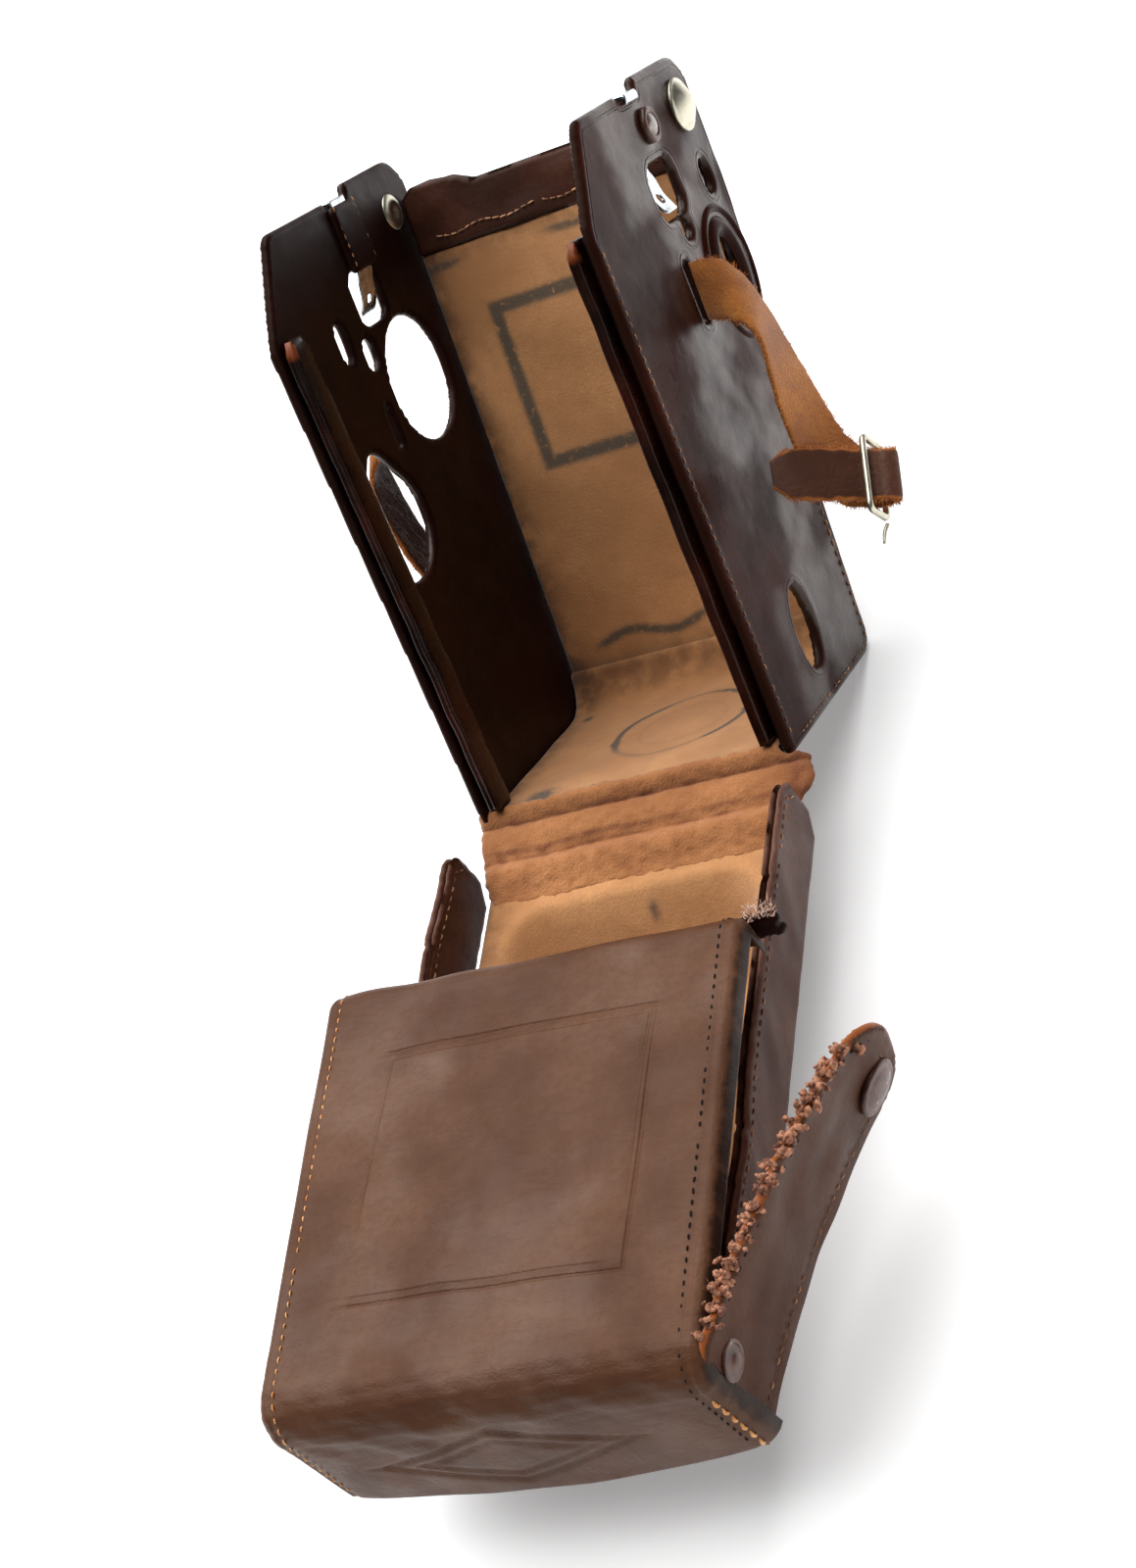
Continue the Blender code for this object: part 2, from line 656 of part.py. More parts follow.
def build_hinge(parts, cradle, cover):
    """The leather hinge between the creases, in two halves that part midway."""
    crease = Vector((CREASE_Y, crease_height()))
    rear = Vector((PANEL_REAR_Y, PANEL_TOP_Z))
    run = rear - crease
    down = Vector((run.y, -run.x)).normalized()
    half = 0.0412
    halves = {"hinge_leather_rear": (0.06, 0.42, cradle), "hinge_leather_front": (0.60, 0.95, cover)}
    for name, (start, stop, body) in halves.items():
        corners = [crease + run * t for t in (start, stop)]
        path = [tuple(corner - down * 0.0004) for corner in corners]
        mesh = flat_mesh(name, path + offset_path(path, STRIP_THICK)[::-1], [], half * 2)
        obj = add_mesh(parts, name, "leather", mesh, None)
        obj.rotation_euler = (math.pi / 2, 0, math.pi / 2)
        bpy.context.view_layer.update()
        obj.parent = body
        obj.matrix_parent_inverse = body.matrix_world.inverted()


# ---------------------------------------------------------------- hood


def hood_path():
    """Outer side of the hood from the foot of its name face to the end of its rear lip: (y, z)."""
    foot = PANEL_TOP_Z + 0.0003
    top = PANEL_TOP_Z + HOOD_HEIGHT
    r, lip = HOOD_FRONT_RADIUS, HOOD_REAR_RADIUS
    front = HOOD_FOLD_Y - 0.0020 - HOOD_SLANT
    path = [(HOOD_FOLD_Y - 0.0020, foot)]
    path += arc((front + r, top - r), r, 174, 90, 6)
    path += arc((HOOD_REAR_Y - lip, top - lip), lip, 90, 0, 4)
    return path + [(HOOD_REAR_Y, top - lip - HOOD_LIP)]


def build_hood(parts, body):
    """The hood's bent sheet, its lining and the band on its left side."""
    path = hood_path()
    left, right = HOOD_LEFT_X, HOOD_RIGHT_X
    sheet(parts, "hood_shell", "leather", path, -HOOD_THICK, left, right, body)
    inner = offset_path(path[4:-2], -HOOD_THICK - GAP)
    sheet(parts, "hood_lining", "suede", inner, -LINING_THICK, left + 0.0040, right - 0.0030, body)
    top = PANEL_TOP_Z + HOOD_HEIGHT - HOOD_THICK - GAP
    foot = PANEL_TOP_Z + 0.0003
    front = HOOD_FOLD_Y + 0.0010
    rear = HOOD_REAR_Y - HOOD_THICK - 0.0010
    outline = [(front, foot), (rear - 0.0160, foot)]
    outline += arc((rear - 0.0160, foot + 0.0160), 0.0160, -90, 0, 6)[1:]
    outline += [(rear, top - 0.0025), (rear - 0.0025, top)]
    outline += [(front + 0.0110, top), (front + 0.0006, top - 0.0095)]
    x = left + BAND_THICK / 2
    side_plate(parts, "hood_left_band", "leather", outline, [], BAND_THICK, x, body)
    cap = domed_profile(CAP_RADIUS, 0.0006, 0.0014)
    place = (left - GAP, rear - 0.0110, foot + 0.0100)
    turned(parts, "left_snap_cap", "lacquer", cap, place, (0, -math.pi / 2, 0), body, 24)
    stub_low = (right - 0.0060, HOOD_REAR_Y + GAP, top - 0.0095)
    stub_high = (right + 0.0070, HOOD_REAR_Y + 0.0022, top - 0.0025)
    block(parts, "torn_seam_stub", "leather", stub_low, stub_high, body, 0.0005)


def band_outline():
    """Outline of the torn band: (length from its fold, height), round at its free end."""
    outline = [(0.0008, 0.0), (BAND_LENGTH - 0.0120, 0.0)]
    outline += arc((BAND_LENGTH - 0.0120, 0.0120), 0.0120, -90, 0, 5)[1:]
    outline += arc((BAND_LENGTH - 0.0160, BAND_HEIGHT - 0.0160), 0.0160, 0, 90, 5)
    outline += [(0.0070, BAND_HEIGHT)]
    return outline + arc((0.0078, BAND_HEIGHT - 0.0070), 0.0070, 100, 180, 4)


def build_torn_band(parts, body):
    """The right band, torn from the top and swung out on the corner where it is still held."""
    mesh = flat_mesh("hood_right_band", band_outline(), [], BAND_THICK)
    band = add_mesh(parts, "hood_right_band", "leather", mesh, body)
    band.rotation_euler = (math.pi / 2, 0, math.pi / 2)
    face = BAND_THICK / 2 + GAP
    turn = (0, math.pi / 2, 0)
    cap = domed_profile(CAP_RADIUS, 0.0006, 0.0014)
    rivet = domed_profile(RIVET_RADIUS + 0.0003, 0.0005, 0.0008)
    turned(parts, "right_snap_cap", "lacquer", cap, (face, CAP_ALONG, CAP_UP), turn, body, 24)
    turned(parts, "right_band_rivet", "lacquer", rivet, (face, 0.0070, 0.0215), turn, body, 20)
    socket = [(0.0018, 0.0020), (0.0050, 0.0020), (0.0050, 0.0), (0.0018, 0.0), (0.0018, 0.0020)]
    back = (-face, CAP_ALONG, CAP_UP)
    turned(parts, "right_snap_socket", "nickel", socket, back, (0, -math.pi / 2, 0), body, 24)


def build():
    """Build every piece of the case, body by body."""
    clear_scene()
    parts = new_collection()
    cradle = pivot(parts, "cradle", (0, CREASE_Y, crease_height()), (-CRADLE_TILT, 0, 0))
    hinge_y, hinge_z = cover_hinge_axis()
    cover_axis = pivot(parts, "cover_hinge", (0, hinge_y, hinge_z))
    cover = pivot(parts, "cover", (0, -hinge_y, -hinge_z), parent=cover_axis)
    fold_axis = pivot(parts, "hood_fold", (0, HOOD_FOLD_Y, PANEL_TOP_Z), parent=cover)
    hood = pivot(parts, "hood", (0, -HOOD_FOLD_Y, -PANEL_TOP_Z), parent=fold_axis)
    corner = (HOOD_RIGHT_X + 0.0005, HOOD_FOLD_Y - 0.0010, PANEL_TOP_Z + 0.0003)
    band_axis = pivot(parts, "band_swing", corner, (0, 0, BAND_SWING), hood)
    band = pivot(parts, "band", (BAND_THICK / 2, 0, 0), (0, BAND_TILT, 0), band_axis)
    build_back_and_bottom(parts, cradle)
    build_walls(parts, cradle)
    build_knob_rings(parts, cradle)
    build_wall_metal(parts, cradle)
    build_straps(parts, cradle)
    build_cover_panel(parts, cover)
    build_flanges(parts, cover)
    build_hinge(parts, cradle, cover)
    build_hood(parts, hood)
    build_torn_band(parts, band)


build()
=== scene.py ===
"""The looks of an open leather ever-ready case of a twin lens reflex camera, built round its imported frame.

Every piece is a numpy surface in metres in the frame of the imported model: +X to the case's right, +Y from
the front cover to the tilted cradle, +Z up, with the table at height zero.
"""

import logging
import math
from dataclasses import dataclass, field
from enum import Enum
from typing import Callable, Optional, Sequence

import bpy
import numpy as np
from mathutils import Matrix, Vector


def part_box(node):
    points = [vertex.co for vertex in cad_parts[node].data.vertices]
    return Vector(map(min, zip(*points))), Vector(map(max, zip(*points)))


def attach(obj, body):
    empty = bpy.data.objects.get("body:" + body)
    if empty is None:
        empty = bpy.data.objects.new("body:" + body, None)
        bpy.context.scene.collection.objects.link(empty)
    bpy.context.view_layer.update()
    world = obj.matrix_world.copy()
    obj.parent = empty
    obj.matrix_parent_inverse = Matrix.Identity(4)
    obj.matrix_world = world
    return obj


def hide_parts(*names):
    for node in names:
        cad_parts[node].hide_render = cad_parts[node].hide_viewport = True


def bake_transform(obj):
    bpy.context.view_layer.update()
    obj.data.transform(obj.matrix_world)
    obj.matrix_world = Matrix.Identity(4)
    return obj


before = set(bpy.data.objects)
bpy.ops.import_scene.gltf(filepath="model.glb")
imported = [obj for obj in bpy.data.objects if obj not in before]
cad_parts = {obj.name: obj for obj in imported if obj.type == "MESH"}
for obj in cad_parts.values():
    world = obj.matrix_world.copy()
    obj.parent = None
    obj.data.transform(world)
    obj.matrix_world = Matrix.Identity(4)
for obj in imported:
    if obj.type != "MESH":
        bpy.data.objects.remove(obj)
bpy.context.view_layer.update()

LOG = logging.getLogger("camera_case")
columns = np.column_stack
Array = np.ndarray
Colour = tuple[float, float, float]
Embed = Callable[[Array, Array, Array], Array]
Relief = Callable[[Array, Array, Array], Array]
TINY = 1e-5
FAR_FROM_EDGE = 0.01
LAYERS = ("edge", "u", "v", "dirt", "mark")


class Body(Enum):
    """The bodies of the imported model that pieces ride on."""

    CRADLE = "cradle"
    COVER = "cover"
    HOOD = "hood"
    BAND = "right_band"
    RIGHT_STRAP = "right_strap"
    LEFT_STRAP = "left_strap"
    BUCKLE = "buckle"
    PRONG = "prong"


class Slot(Enum):
    """The record's material slots."""

    HIDE = "outer_leather"
    LINING = "lining_suede"
    STRAP = "strap_suede"
    STEEL = "spring_steel"
    NICKEL = "nickel"
    LACQUER = "lacquered_metal"


# ---- numbers and curves


def linear(*display: float) -> Colour:
    """Turn a display colour into the linear values that a shader takes: a power curve, straight near black.

    Args:
        display: Its red, green and blue from 0 to 255.

    Returns:
        Red, green and blue from 0 to 1.
    """
    values = np.array(display) / 255
    low = values / 12.92
    high = ((values + 0.055) / 1.055) ** 2.4
    return tuple(float(v) for v in np.where(values <= 0.04045, low, high))


def arc(x: float, y: float, radius: float, start: float, stop: float, steps: int = 12) -> Array:
    """Points of an arc: its centre plus the radius times the cosine and sine of evenly spaced angles.

    Args:
        x: The centre's first coordinate.
        y: The centre's second coordinate.
        radius: The arc's radius.
        start: The first angle in degrees.
        stop: The last angle in degrees.
        steps: How many steps it takes.

    Returns:
        (steps + 1, 2) points.
    """
    angles = np.radians(np.linspace(start, stop, steps + 1))
    return columns([x + radius * np.cos(angles), y + radius * np.sin(angles)])


def oval(x: float, y: float, half_x: float, half_y: float, steps: int = 40) -> Array:
    """Points round an oval about (x, y)."""
    angles = np.linspace(0, 2 * np.pi, steps, endpoint=False)
    return columns([x + half_x * np.cos(angles), y + half_y * np.sin(angles)])


def rounded_box(x: Sequence[float], y: Sequence[float], radius: float) -> Array:
    """Points round a rectangle, with a quarter circle at each corner.

    Args:
        x: Its left and right side.
        y: Its lower and upper side.
        radius: The corners' radius.

    Returns:
        (36, 2) points.
    """
    left, right = x[0] + radius, x[1] - radius
    low, high = y[0] + radius, y[1] - radius
    corners = ((right, high), (left, high), (left, low), (right, low))
    return np.vstack([arc(*corner, radius, 90 * k, 90 * k + 90, 8) for k, corner in enumerate(corners)])


def outline_distance(points: Array, outline: Array) -> Array:
    """Distance of points to a closed outline, negative inside it.

    The distance is the least over the outline's sides, and the sign comes from how many sides a ray crosses.

    Args:
        points: (n, 2) places.
        outline: (k, 2) corners in order.

    Returns:
        (n,) signed distances.
    """
    start, stop = outline, np.roll(outline, -1, axis=0)
    side = stop - start
    length = np.maximum((side**2).sum(1), 1e-18)
    away = points[:, None, :] - start[None]
    share = np.clip((away * side).sum(2) / length, 0, 1)
    distance = np.sqrt(((away - share[..., None] * side) ** 2).sum(2)).min(1)
    straddles = (start[:, 1] > points[:, 1:2]) != (stop[:, 1] > points[:, 1:2])
    rise = np.where(np.abs(side[:, 1]) < 1e-15, 1e-15, side[:, 1])
    crossing = start[:, 0] + away[..., 1] * side[:, 0] / rise
    inside = (straddles & (points[:, 0:1] < crossing)).sum(1) % 2 == 1
    return np.where(inside, -distance, distance)


def waves(points: Array, size: float, seed: int, count: int = 9) -> Array:
    """Smooth noise between about -1 and 1: a sum of sines with seeded directions, lengths and phases.

    Args:
        points: (n, k) places.
        size: The waves' mean length.
        seed: Picks the sines.
        count: How many sines are summed.

    Returns:
        (n,) heights.
    """
    random = np.random.default_rng(seed)
    direction = random.normal(size=(count, points.shape[1]))
    direction /= np.linalg.norm(direction, axis=1, keepdims=True)
    turns = direction * (2 * np.pi / size / random.uniform(0.6, 1.8, (count, 1)))
    phase = random.uniform(0, 2 * np.pi, count)
    return np.sin(points @ turns.T + phase).sum(1) / math.sqrt(count) / 1.2


def ripple(depth: float, size: float, seed: int, count: int = 9) -> Relief:
    """A relief of shallow waves over a sheet, as a function of u, v and the distance from the edge."""
    return lambda u, v, distance: depth * waves(columns([u, v]), size, seed, count)


def fray(depth: float, size: float, seed: int) -> Callable[[Array], Array]:
    """A cut edge that wanders by smooth noise, as a function of places."""
    return lambda places: depth * waves(places, size, seed)


def bell(value: Array, width: float) -> Array:
    """A bump of height one at zero, about as wide as width on each side."""
    return np.exp(-((value / width) ** 2))


def step_up(value: Array, low: float, high: float) -> Array:
    """Zero below low, one above high, and a smooth cubic between them."""
    t = np.clip((value - low) / (high - low), 0, 1)
    return t * t * (3 - 2 * t)


def lines(low: float, high: float, step: float, fine: Sequence[float] = (), reach: float = 0.0012) -> Array:
    """Grid lines a step apart, and four times closer near each of the fine places.

    Args:
        low: The first line.
        high: The last line.
        step: The distance from line to line.
        fine: Places that need more lines.
        reach: How far the closer lines go on each side of such a place.

    Returns:
        (n,) rising values, none closer together than a sixth of a step.
    """
    values = [np.arange(low - step, high + 1.01 * step, step)]
    values += [np.arange(place - reach, place + reach, step / 4) for place in fine]
    merged = np.unique(np.round(np.concatenate(values), 6))
    keep = np.concatenate([[True], np.diff(merged) > step / 6])
    return merged[keep]


def smooth_rows(rows: Array, per_span: int) -> Array:
    """Carry a curve through rows of numbers: each span is a Catmull-Rom cubic of its four nearest rows.

    Args:
        rows: (n, k) numbers that the curve passes.
        per_span: How many rows stand for each span.

    Returns:
        ((n - 1) * per_span + 1, k) numbers.
    """
    padded = np.vstack([2 * rows[0] - rows[1], rows, 2 * rows[-1] - rows[-2]])
    a, b, c, d = (padded[i:len(padded) - 3 + i, None, :] for i in range(4))
    t = np.linspace(0, 1, per_span, endpoint=False)[None, :, None]
    cubic = 2 * b + (c - a) * t + (2 * a - 5 * b + 4 * c - d) * t**2 + (3 * b - a - 3 * c + d) * t**3
    return np.vstack([cubic.reshape(-1, rows.shape[1]) / 2, rows[-1:]])


def unit(vectors: Array) -> Array:
    """The vectors at length one."""
    return vectors / np.maximum(np.linalg.norm(vectors, axis=-1, keepdims=True), 1e-12)


class Bend:
    """A line in a plane that a sheet follows, read by the length along it."""

    def __init__(self, points: Array) -> None:
        """Store the points, the length up to each and the normal to the left of travel."""
        self.points = points
        sides = np.diff(points, axis=0)
        self.reached = np.concatenate([[0.0], np.cumsum(np.linalg.norm(sides, axis=1))])
        ahead = unit(sides)
        mean = unit(np.vstack([ahead[:1], ahead[:-1] + ahead[1:], ahead[-1:]]))
        self.normals = columns([-mean[:, 1], mean[:, 0]])

    @property
    def length(self) -> float:
        """The whole length of the line."""
        return float(self.reached[-1])

    def at(self, travelled: Array) -> tuple[Array, Array]:
        """Read the line between its points; past an end it runs on straight.

        Args:
            travelled: (n,) lengths along the line.

        Returns:
            (n, 2) points and (n, 2) unit normals to the left of travel.
        """
        held = np.clip(travelled, 0, self.length)
        point = columns([np.interp(held, self.reached, self.points[:, i]) for i in (0, 1)])
        normal = unit(columns([np.interp(held, self.reached, self.normals[:, i]) for i in (0, 1)]))
        ahead = columns([normal[:, 1], -normal[:, 0]])
        return point + ahead * (travelled - held)[:, None], normal


# ---- surfaces


@dataclass
class Surface:
    """Points and faces before they become a mesh, with numbers per point and a material index per face."""

    points: Array
    faces: list[Array]
    slots: list[Array]
    layers: dict[str, Array] = field(default_factory=dict)

    def volume(self) -> float:
        """Six times the signed volume: the sum of the triple products of the faces' triangles."""
        total = 0.0
        for face in self.faces:
            for i in range(1, face.shape[1] - 1):
                a, b, c = (self.points[face[:, k]] for k in (0, i, i + 1))
                total += float((np.cross(a, b) * c).sum())
        return total

    def outward(self) -> "Surface":
        """Turn every face round if the surface is inside out."""
        if self.volume() < 0:
            self.faces = [face[:, ::-1] for face in self.faces]
        return self


def merged(surfaces: Sequence[Surface]) -> Surface:
    """Several surfaces as one.

    Args:
        surfaces: The surfaces, whose faces' indices are moved on past the points before them.

    Returns:
        One surface, with the layers that all of them have.
    """
    starts = np.cumsum([0] + [len(s.points) for s in surfaces])
    names = set.intersection(*(set(s.layers) for s in surfaces))
    return Surface(
        np.vstack([s.points for s in surfaces]),
        [face + start for s, start in zip(surfaces, starts) for face in s.faces],
        [slot for s in surfaces for slot in s.slots],
        {name: np.concatenate([s.layers[name] for s in surfaces]) for name in sorted(names)},
    )


def skin(rings: Array, looped: bool = False, slot: int = 0) -> Surface:
    """Close a row of rings into one surface, with a cap of triangles at each end unless the row is a loop.

    Args:
        rings: (n, m, 3) points, n rings of m points.
        looped: Whether the last ring joins the first.
        slot: The material index of its faces.

    Returns:
        The closed surface, facing out.
    """
    count, around = rings.shape[:2]
    index = np.arange(count * around).reshape(count, around)
    start = index if looped else index[:-1]
    ahead = np.roll(index, -1, axis=0) if looped else index[1:]
    quads = np.stack([start, np.roll(start, -1, 1), np.roll(ahead, -1, 1), ahead], -1).reshape(-1, 4)
    points = rings.reshape(-1, 3)
    faces = [quads]
    if not looped:
        ends = rings[[0, -1]].mean(1)
        first = columns([np.roll(index[0], -1), index[0], np.full(around, len(points))])
        last = columns([index[-1], np.roll(index[-1], -1), np.full(around, len(points) + 1)])
        points = np.vstack([points, ends])
        faces.append(np.vstack([first, last]))
    return Surface(points, faces, [np.full(len(f), slot) for f in faces]).outward()


@dataclass
class Cut:
    """A sheet cut to an outline on a grid: each point is a place (u, v) on the sheet."""

    outline: Array
    us: Array
    vs: Array
    thickness: float
    holes: Sequence[Array] = ()
    edge_round: float = 0.0005
    ragged: Optional[Callable[[Array], Array]] = None
    relief: Optional[Relief] = None
    split: bool = True

    def distance(self, places: Array) -> Array:
        """Distance to the nearest cut edge: the greatest of the outline's and, turned about, the holes'.

        Args:
            places: (n, 2) places on the sheet.

        Returns:
            (n,) distances, negative on the leather.
        """
        result = outline_distance(places, self.outline)
        for hole in self.holes:
            result = np.maximum(result, -outline_distance(places, hole))
        if self.ragged is not None:
            result = result + self.ragged(places)
        return result

    def kept_cells(self, distance: Array) -> Array:
        """The grid cells whose middle is on the leather, without cells that touch only at a corner.

        Args:
            distance: (n, m) distances at the grid's points.

        Returns:
            (n - 1, m - 1) True for each cell that is kept.
        """
        middle = (distance[:-1, :-1] + distance[1:, :-1] + distance[:-1, 1:] + distance[1:, 1:]) / 4
        keep = middle < 0
        for _ in range(3):
            a, b, c, d = keep[:-1, :-1], keep[1:, :-1], keep[:-1, 1:], keep[1:, 1:]
            falling = a & d & ~b & ~c
            rising = b & c & ~a & ~d
            keep[1:, 1:][falling] = False
            keep[1:, :-1][rising] = False
        return keep

    def pulled_to_edge(self, places: Array) -> Array:
        """Move places onto the cut edge by Newton steps along the slope of the distance.

        Args:
            places: (n, 2) places near the edge.

        Returns:
            (n, 2) places on it.
        """
        for _ in range(4):
            here = self.distance(places)
            slope = [(self.distance(places + shift) - here) / TINY for shift in np.eye(2) * TINY]
            slope = columns(slope)
            size = np.maximum((slope**2).sum(1), 0.25)
            places = places - slope * np.clip(here / size, -0.0004, 0.0004)[:, None]
        return places

    def surface(self, embed: Embed) -> Surface:
        """Cut the sheet, give it its thickness and round edge, and place it.

        The half thickness falls off near the edge as a quarter circle. Upper faces have material 0, lower
        faces 1 if the sheet is split and 0 if not, and the rim 0.

        Args:
            embed: Turns arrays of u, v and the height over the sheet's middle into points.

        Returns:
            The closed sheet, with the layers edge (metres from the cut edge), u and v.
        """
        grid = np.stack(np.meshgrid(self.us, self.vs, indexing="ij"), -1)
        count_u, count_v = grid.shape[:2]
        keep = self.kept_cells(self.distance(grid.reshape(-1, 2)).reshape(count_u, count_v))
        framed = np.pad(keep, 1)
        around = framed[:-1, :-1].astype(int) + framed[1:, :-1] + framed[:-1, 1:] + framed[1:, 1:]
        used = around > 0
        rim = used & (around < 4)
        grid[rim] = self.pulled_to_edge(grid[rim])
        places = grid[used]
        total = len(places)
        index = np.full((count_u, count_v), -1)
        index[used] = np.arange(total)
        distance = np.minimum(self.distance(places), 0)
        inward = np.clip(self.edge_round + distance, 0, self.edge_round)
        half = self.thickness / 2 - self.edge_round + np.sqrt(self.edge_round**2 - inward**2)
        u, v = places[:, 0], places[:, 1]
        top = half + (self.relief(u, v, distance) if self.relief else 0.0)
        points = np.vstack([embed(u, v, top), embed(u, v, -half)])
        i, j = np.nonzero(keep)
        upper = columns([index[i, j], index[i + 1, j], index[i + 1, j + 1], index[i, j + 1]])
        strips = self.rim_strips(framed, index)
        walls = columns([strips[:, 1], strips[:, 0], strips[:, 0] + total, strips[:, 1] + total])
        lower = upper[:, ::-1] + total
        layers = {"edge": np.tile(-distance, 2), "u": np.tile(u, 2), "v": np.tile(v, 2)}
        slots = [np.zeros(len(upper)), np.full(len(lower), int(self.split)), np.zeros(len(walls))]
        return Surface(points, [upper, lower, walls], slots, layers).outward()

    @staticmethod
    def rim_strips(framed: Array, index: Array) -> Array:
        """Pairs of points along the rim, in the order in which the upper faces pass them.

        Args:
            framed: The kept cells with a border of cells that aren't.
            index: The number of each grid point.

        Returns:
            (n, 2) numbers of points.
        """
        above, below = framed[1:-1, 1:], framed[1:-1, :-1]
        right, left = framed[1:, 1:-1], framed[:-1, 1:-1]
        pairs = []
        for found, (a, b), (c, d) in (
            (above & ~below, (0, 0), (1, 0)), (below & ~above, (1, 0), (0, 0)),
            (right & ~left, (0, 1), (0, 0)), (left & ~right, (0, 0), (0, 1)),
        ):
            i, j = np.nonzero(found)
            pairs.append(columns([index[i + a, j + b], index[i + c, j + d]]))
        return np.vstack(pairs)


@dataclass
class WholeSheet(Cut):
    """A whole rectangular sheet: u runs from 0 to 1 across its width, and v along its length."""

    width: float = 1.0
    length: float = 1.0

    def distance(self, places: Array) -> Array:
        """Distance in metres to the nearest of the four sides, negative on the leather."""
        u, v = places.T
        return np.max([-u * self.width, (u - 1) * self.width, -v, v - self.length], axis=0)

    def pulled_to_edge(self, places: Array) -> Array:
        """Hold places within the sides."""
        return np.clip(places, 0, [1, self.length])


def spokes(across: Array, third: Array, steps: int) -> Array:
    """Unit directions round a circle: the cosine times one direction plus the sine times another."""
    angles = np.linspace(0, 2 * np.pi, steps, endpoint=False)
    return np.cos(angles)[:, None] * across + np.sin(angles)[:, None] * third


def revolved(profile: Array, origin: Sequence[float], axis: Sequence[float], steps: int = 36) -> Array:
    """Turn a closed profile about an axis: one ring of the whole profile for each angle.

    Args:
        profile: (k, 2) radii and heights, in order round the section.
        origin: The place of height zero on the axis.
        axis: The direction in which heights count.
        steps: How many angles there are.

    Returns:
        (steps, k, 3) points.
    """
    up = unit(np.array(axis, float))
    across = unit(np.cross(up, [0.0, 0.3, 1.0]))
    spoke = spokes(across, np.cross(up, across), steps)
    return profile[None, :, :1] * spoke[:, None] + profile[None, :, 1:] * up + np.array(origin, float)


def turned(profile: Array, origin: Sequence[float], axis: Sequence[float], steps: int = 40) -> Surface:
    """Turn an open profile about an axis: each point of the profile sweeps a ring.

    Args:
        profile: (k, 2) radii and heights from one end to the other.
        origin: The place of height zero on the axis.
        axis: The direction in which heights count.
        steps: How many points a ring has.

    Returns:
        The closed solid.
    """
    up = unit(np.array(axis, float))
    helper = [0.0, 0.0, 1.0] if abs(up[2]) < 0.9 else [1.0, 0.0, 0.0]
    across = unit(np.cross(up, helper))
    spoke = spokes(across, np.cross(up, across), steps)
    rings = profile[:, 0, None, None] * spoke[None] + profile[:, 1, None, None] * up
    return skin(rings + np.array(origin, float))


def tube(path: Array, radius: Array, looped: bool = False, sides: int = 12) -> Surface:
    """A round tube along a path: each ring stands across the path's direction.

    Args:
        path: (n, 3) points of its middle.
        radius: (n,) radii.
        looped: Whether its ends meet.
        sides: How many points a ring has.

    Returns:
        The closed tube.
    """
    ahead = np.roll(path, -1, 0) - np.roll(path, 1, 0)
    if not looped:
        ahead[0], ahead[-1] = path[1] - path[0], path[-1] - path[-2]
    ahead = unit(ahead)
    across = unit(np.cross(ahead, [1.0, 0.17, 0.05]))
    third = np.cross(ahead, across)
    angles = np.linspace(0, 2 * np.pi, sides, endpoint=False)
    spoke = np.cos(angles)[:, None] * across[:, None] + np.sin(angles)[:, None] * third[:, None]
    return skin(path[:, None] + spoke * np.asarray(radius).reshape(-1, 1, 1), looped)


def scattered(shape: Surface, origins: Array, frames: Array, sizes: Array) -> Surface:
    """Copies of a small shape: each is scaled, turned by its frame's rows and moved to its origin.

    Args:
        shape: The small shape.
        origins: (n, 3) places.
        frames: (n, 3, 3) turns, whose rows are the directions of the shape's own axes.
        sizes: (n, 3) scales along those axes.

    Returns:
        All copies as one surface.
    """
    local = shape.points[None] * sizes[:, None, :]
    points = np.einsum("nki,nij->nkj", local, frames) + origins[:, None, :]
    shift = (np.arange(len(origins)) * len(shape.points))[:, None, None]
    faces = [(face[None] + shift).reshape(-1, face.shape[1]) for face in shape.faces]
    return Surface(points.reshape(-1, 3), faces, [np.zeros(len(f)) for f in faces])


def thread_shape() -> Surface:
    """One stitch: a bead about X, one long and one high, whose ends dip into the leather."""
    t = np.linspace(-1, 1, 6)
    thick = np.sqrt(np.clip(1.02 - np.abs(t) ** 3, 0.05, 1)) / 2
    angles = np.linspace(0, 2 * np.pi, 6, endpoint=False)
    y = thick[:, None] * np.cos(angles)
    z = thick[:, None] * np.sin(angles) + (0.35 - 0.8 * t**2)[:, None]
    x = np.broadcast_to(t[:, None] / 2, y.shape)
    return skin(np.stack([x, y, z], -1))


def lump_shape() -> Surface:
    """One crumb of torn fibre: a small ball of few faces."""
    heights = np.linspace(-0.8, 0.8, 4)
    angles = np.linspace(0, 2 * np.pi, 6, endpoint=False)
    radius = np.sqrt(1 - heights**2)
    return skin(np.stack([
        radius[:, None] * np.cos(angles),
        radius[:, None] * np.sin(angles),
        np.broadcast_to(heights[:, None], (4, 6)),
    ], -1) / 2)


def hair_shape() -> Surface:
    """One fibre: a three-sided spike that bows to one side."""
    t = np.array([0.0, 0.35, 0.7, 1.0])
    angles = np.linspace(0, 2 * np.pi, 3, endpoint=False)
    thick = np.array([1.0, 0.9, 0.6, 0.15])[:, None] / 2
    bow = (0.25 * t**2)[:, None]
    x = thick * np.cos(angles)
    y = thick * np.sin(angles)
    return skin(np.stack([x + bow, y, np.broadcast_to(t[:, None], (4, 3))], -1))


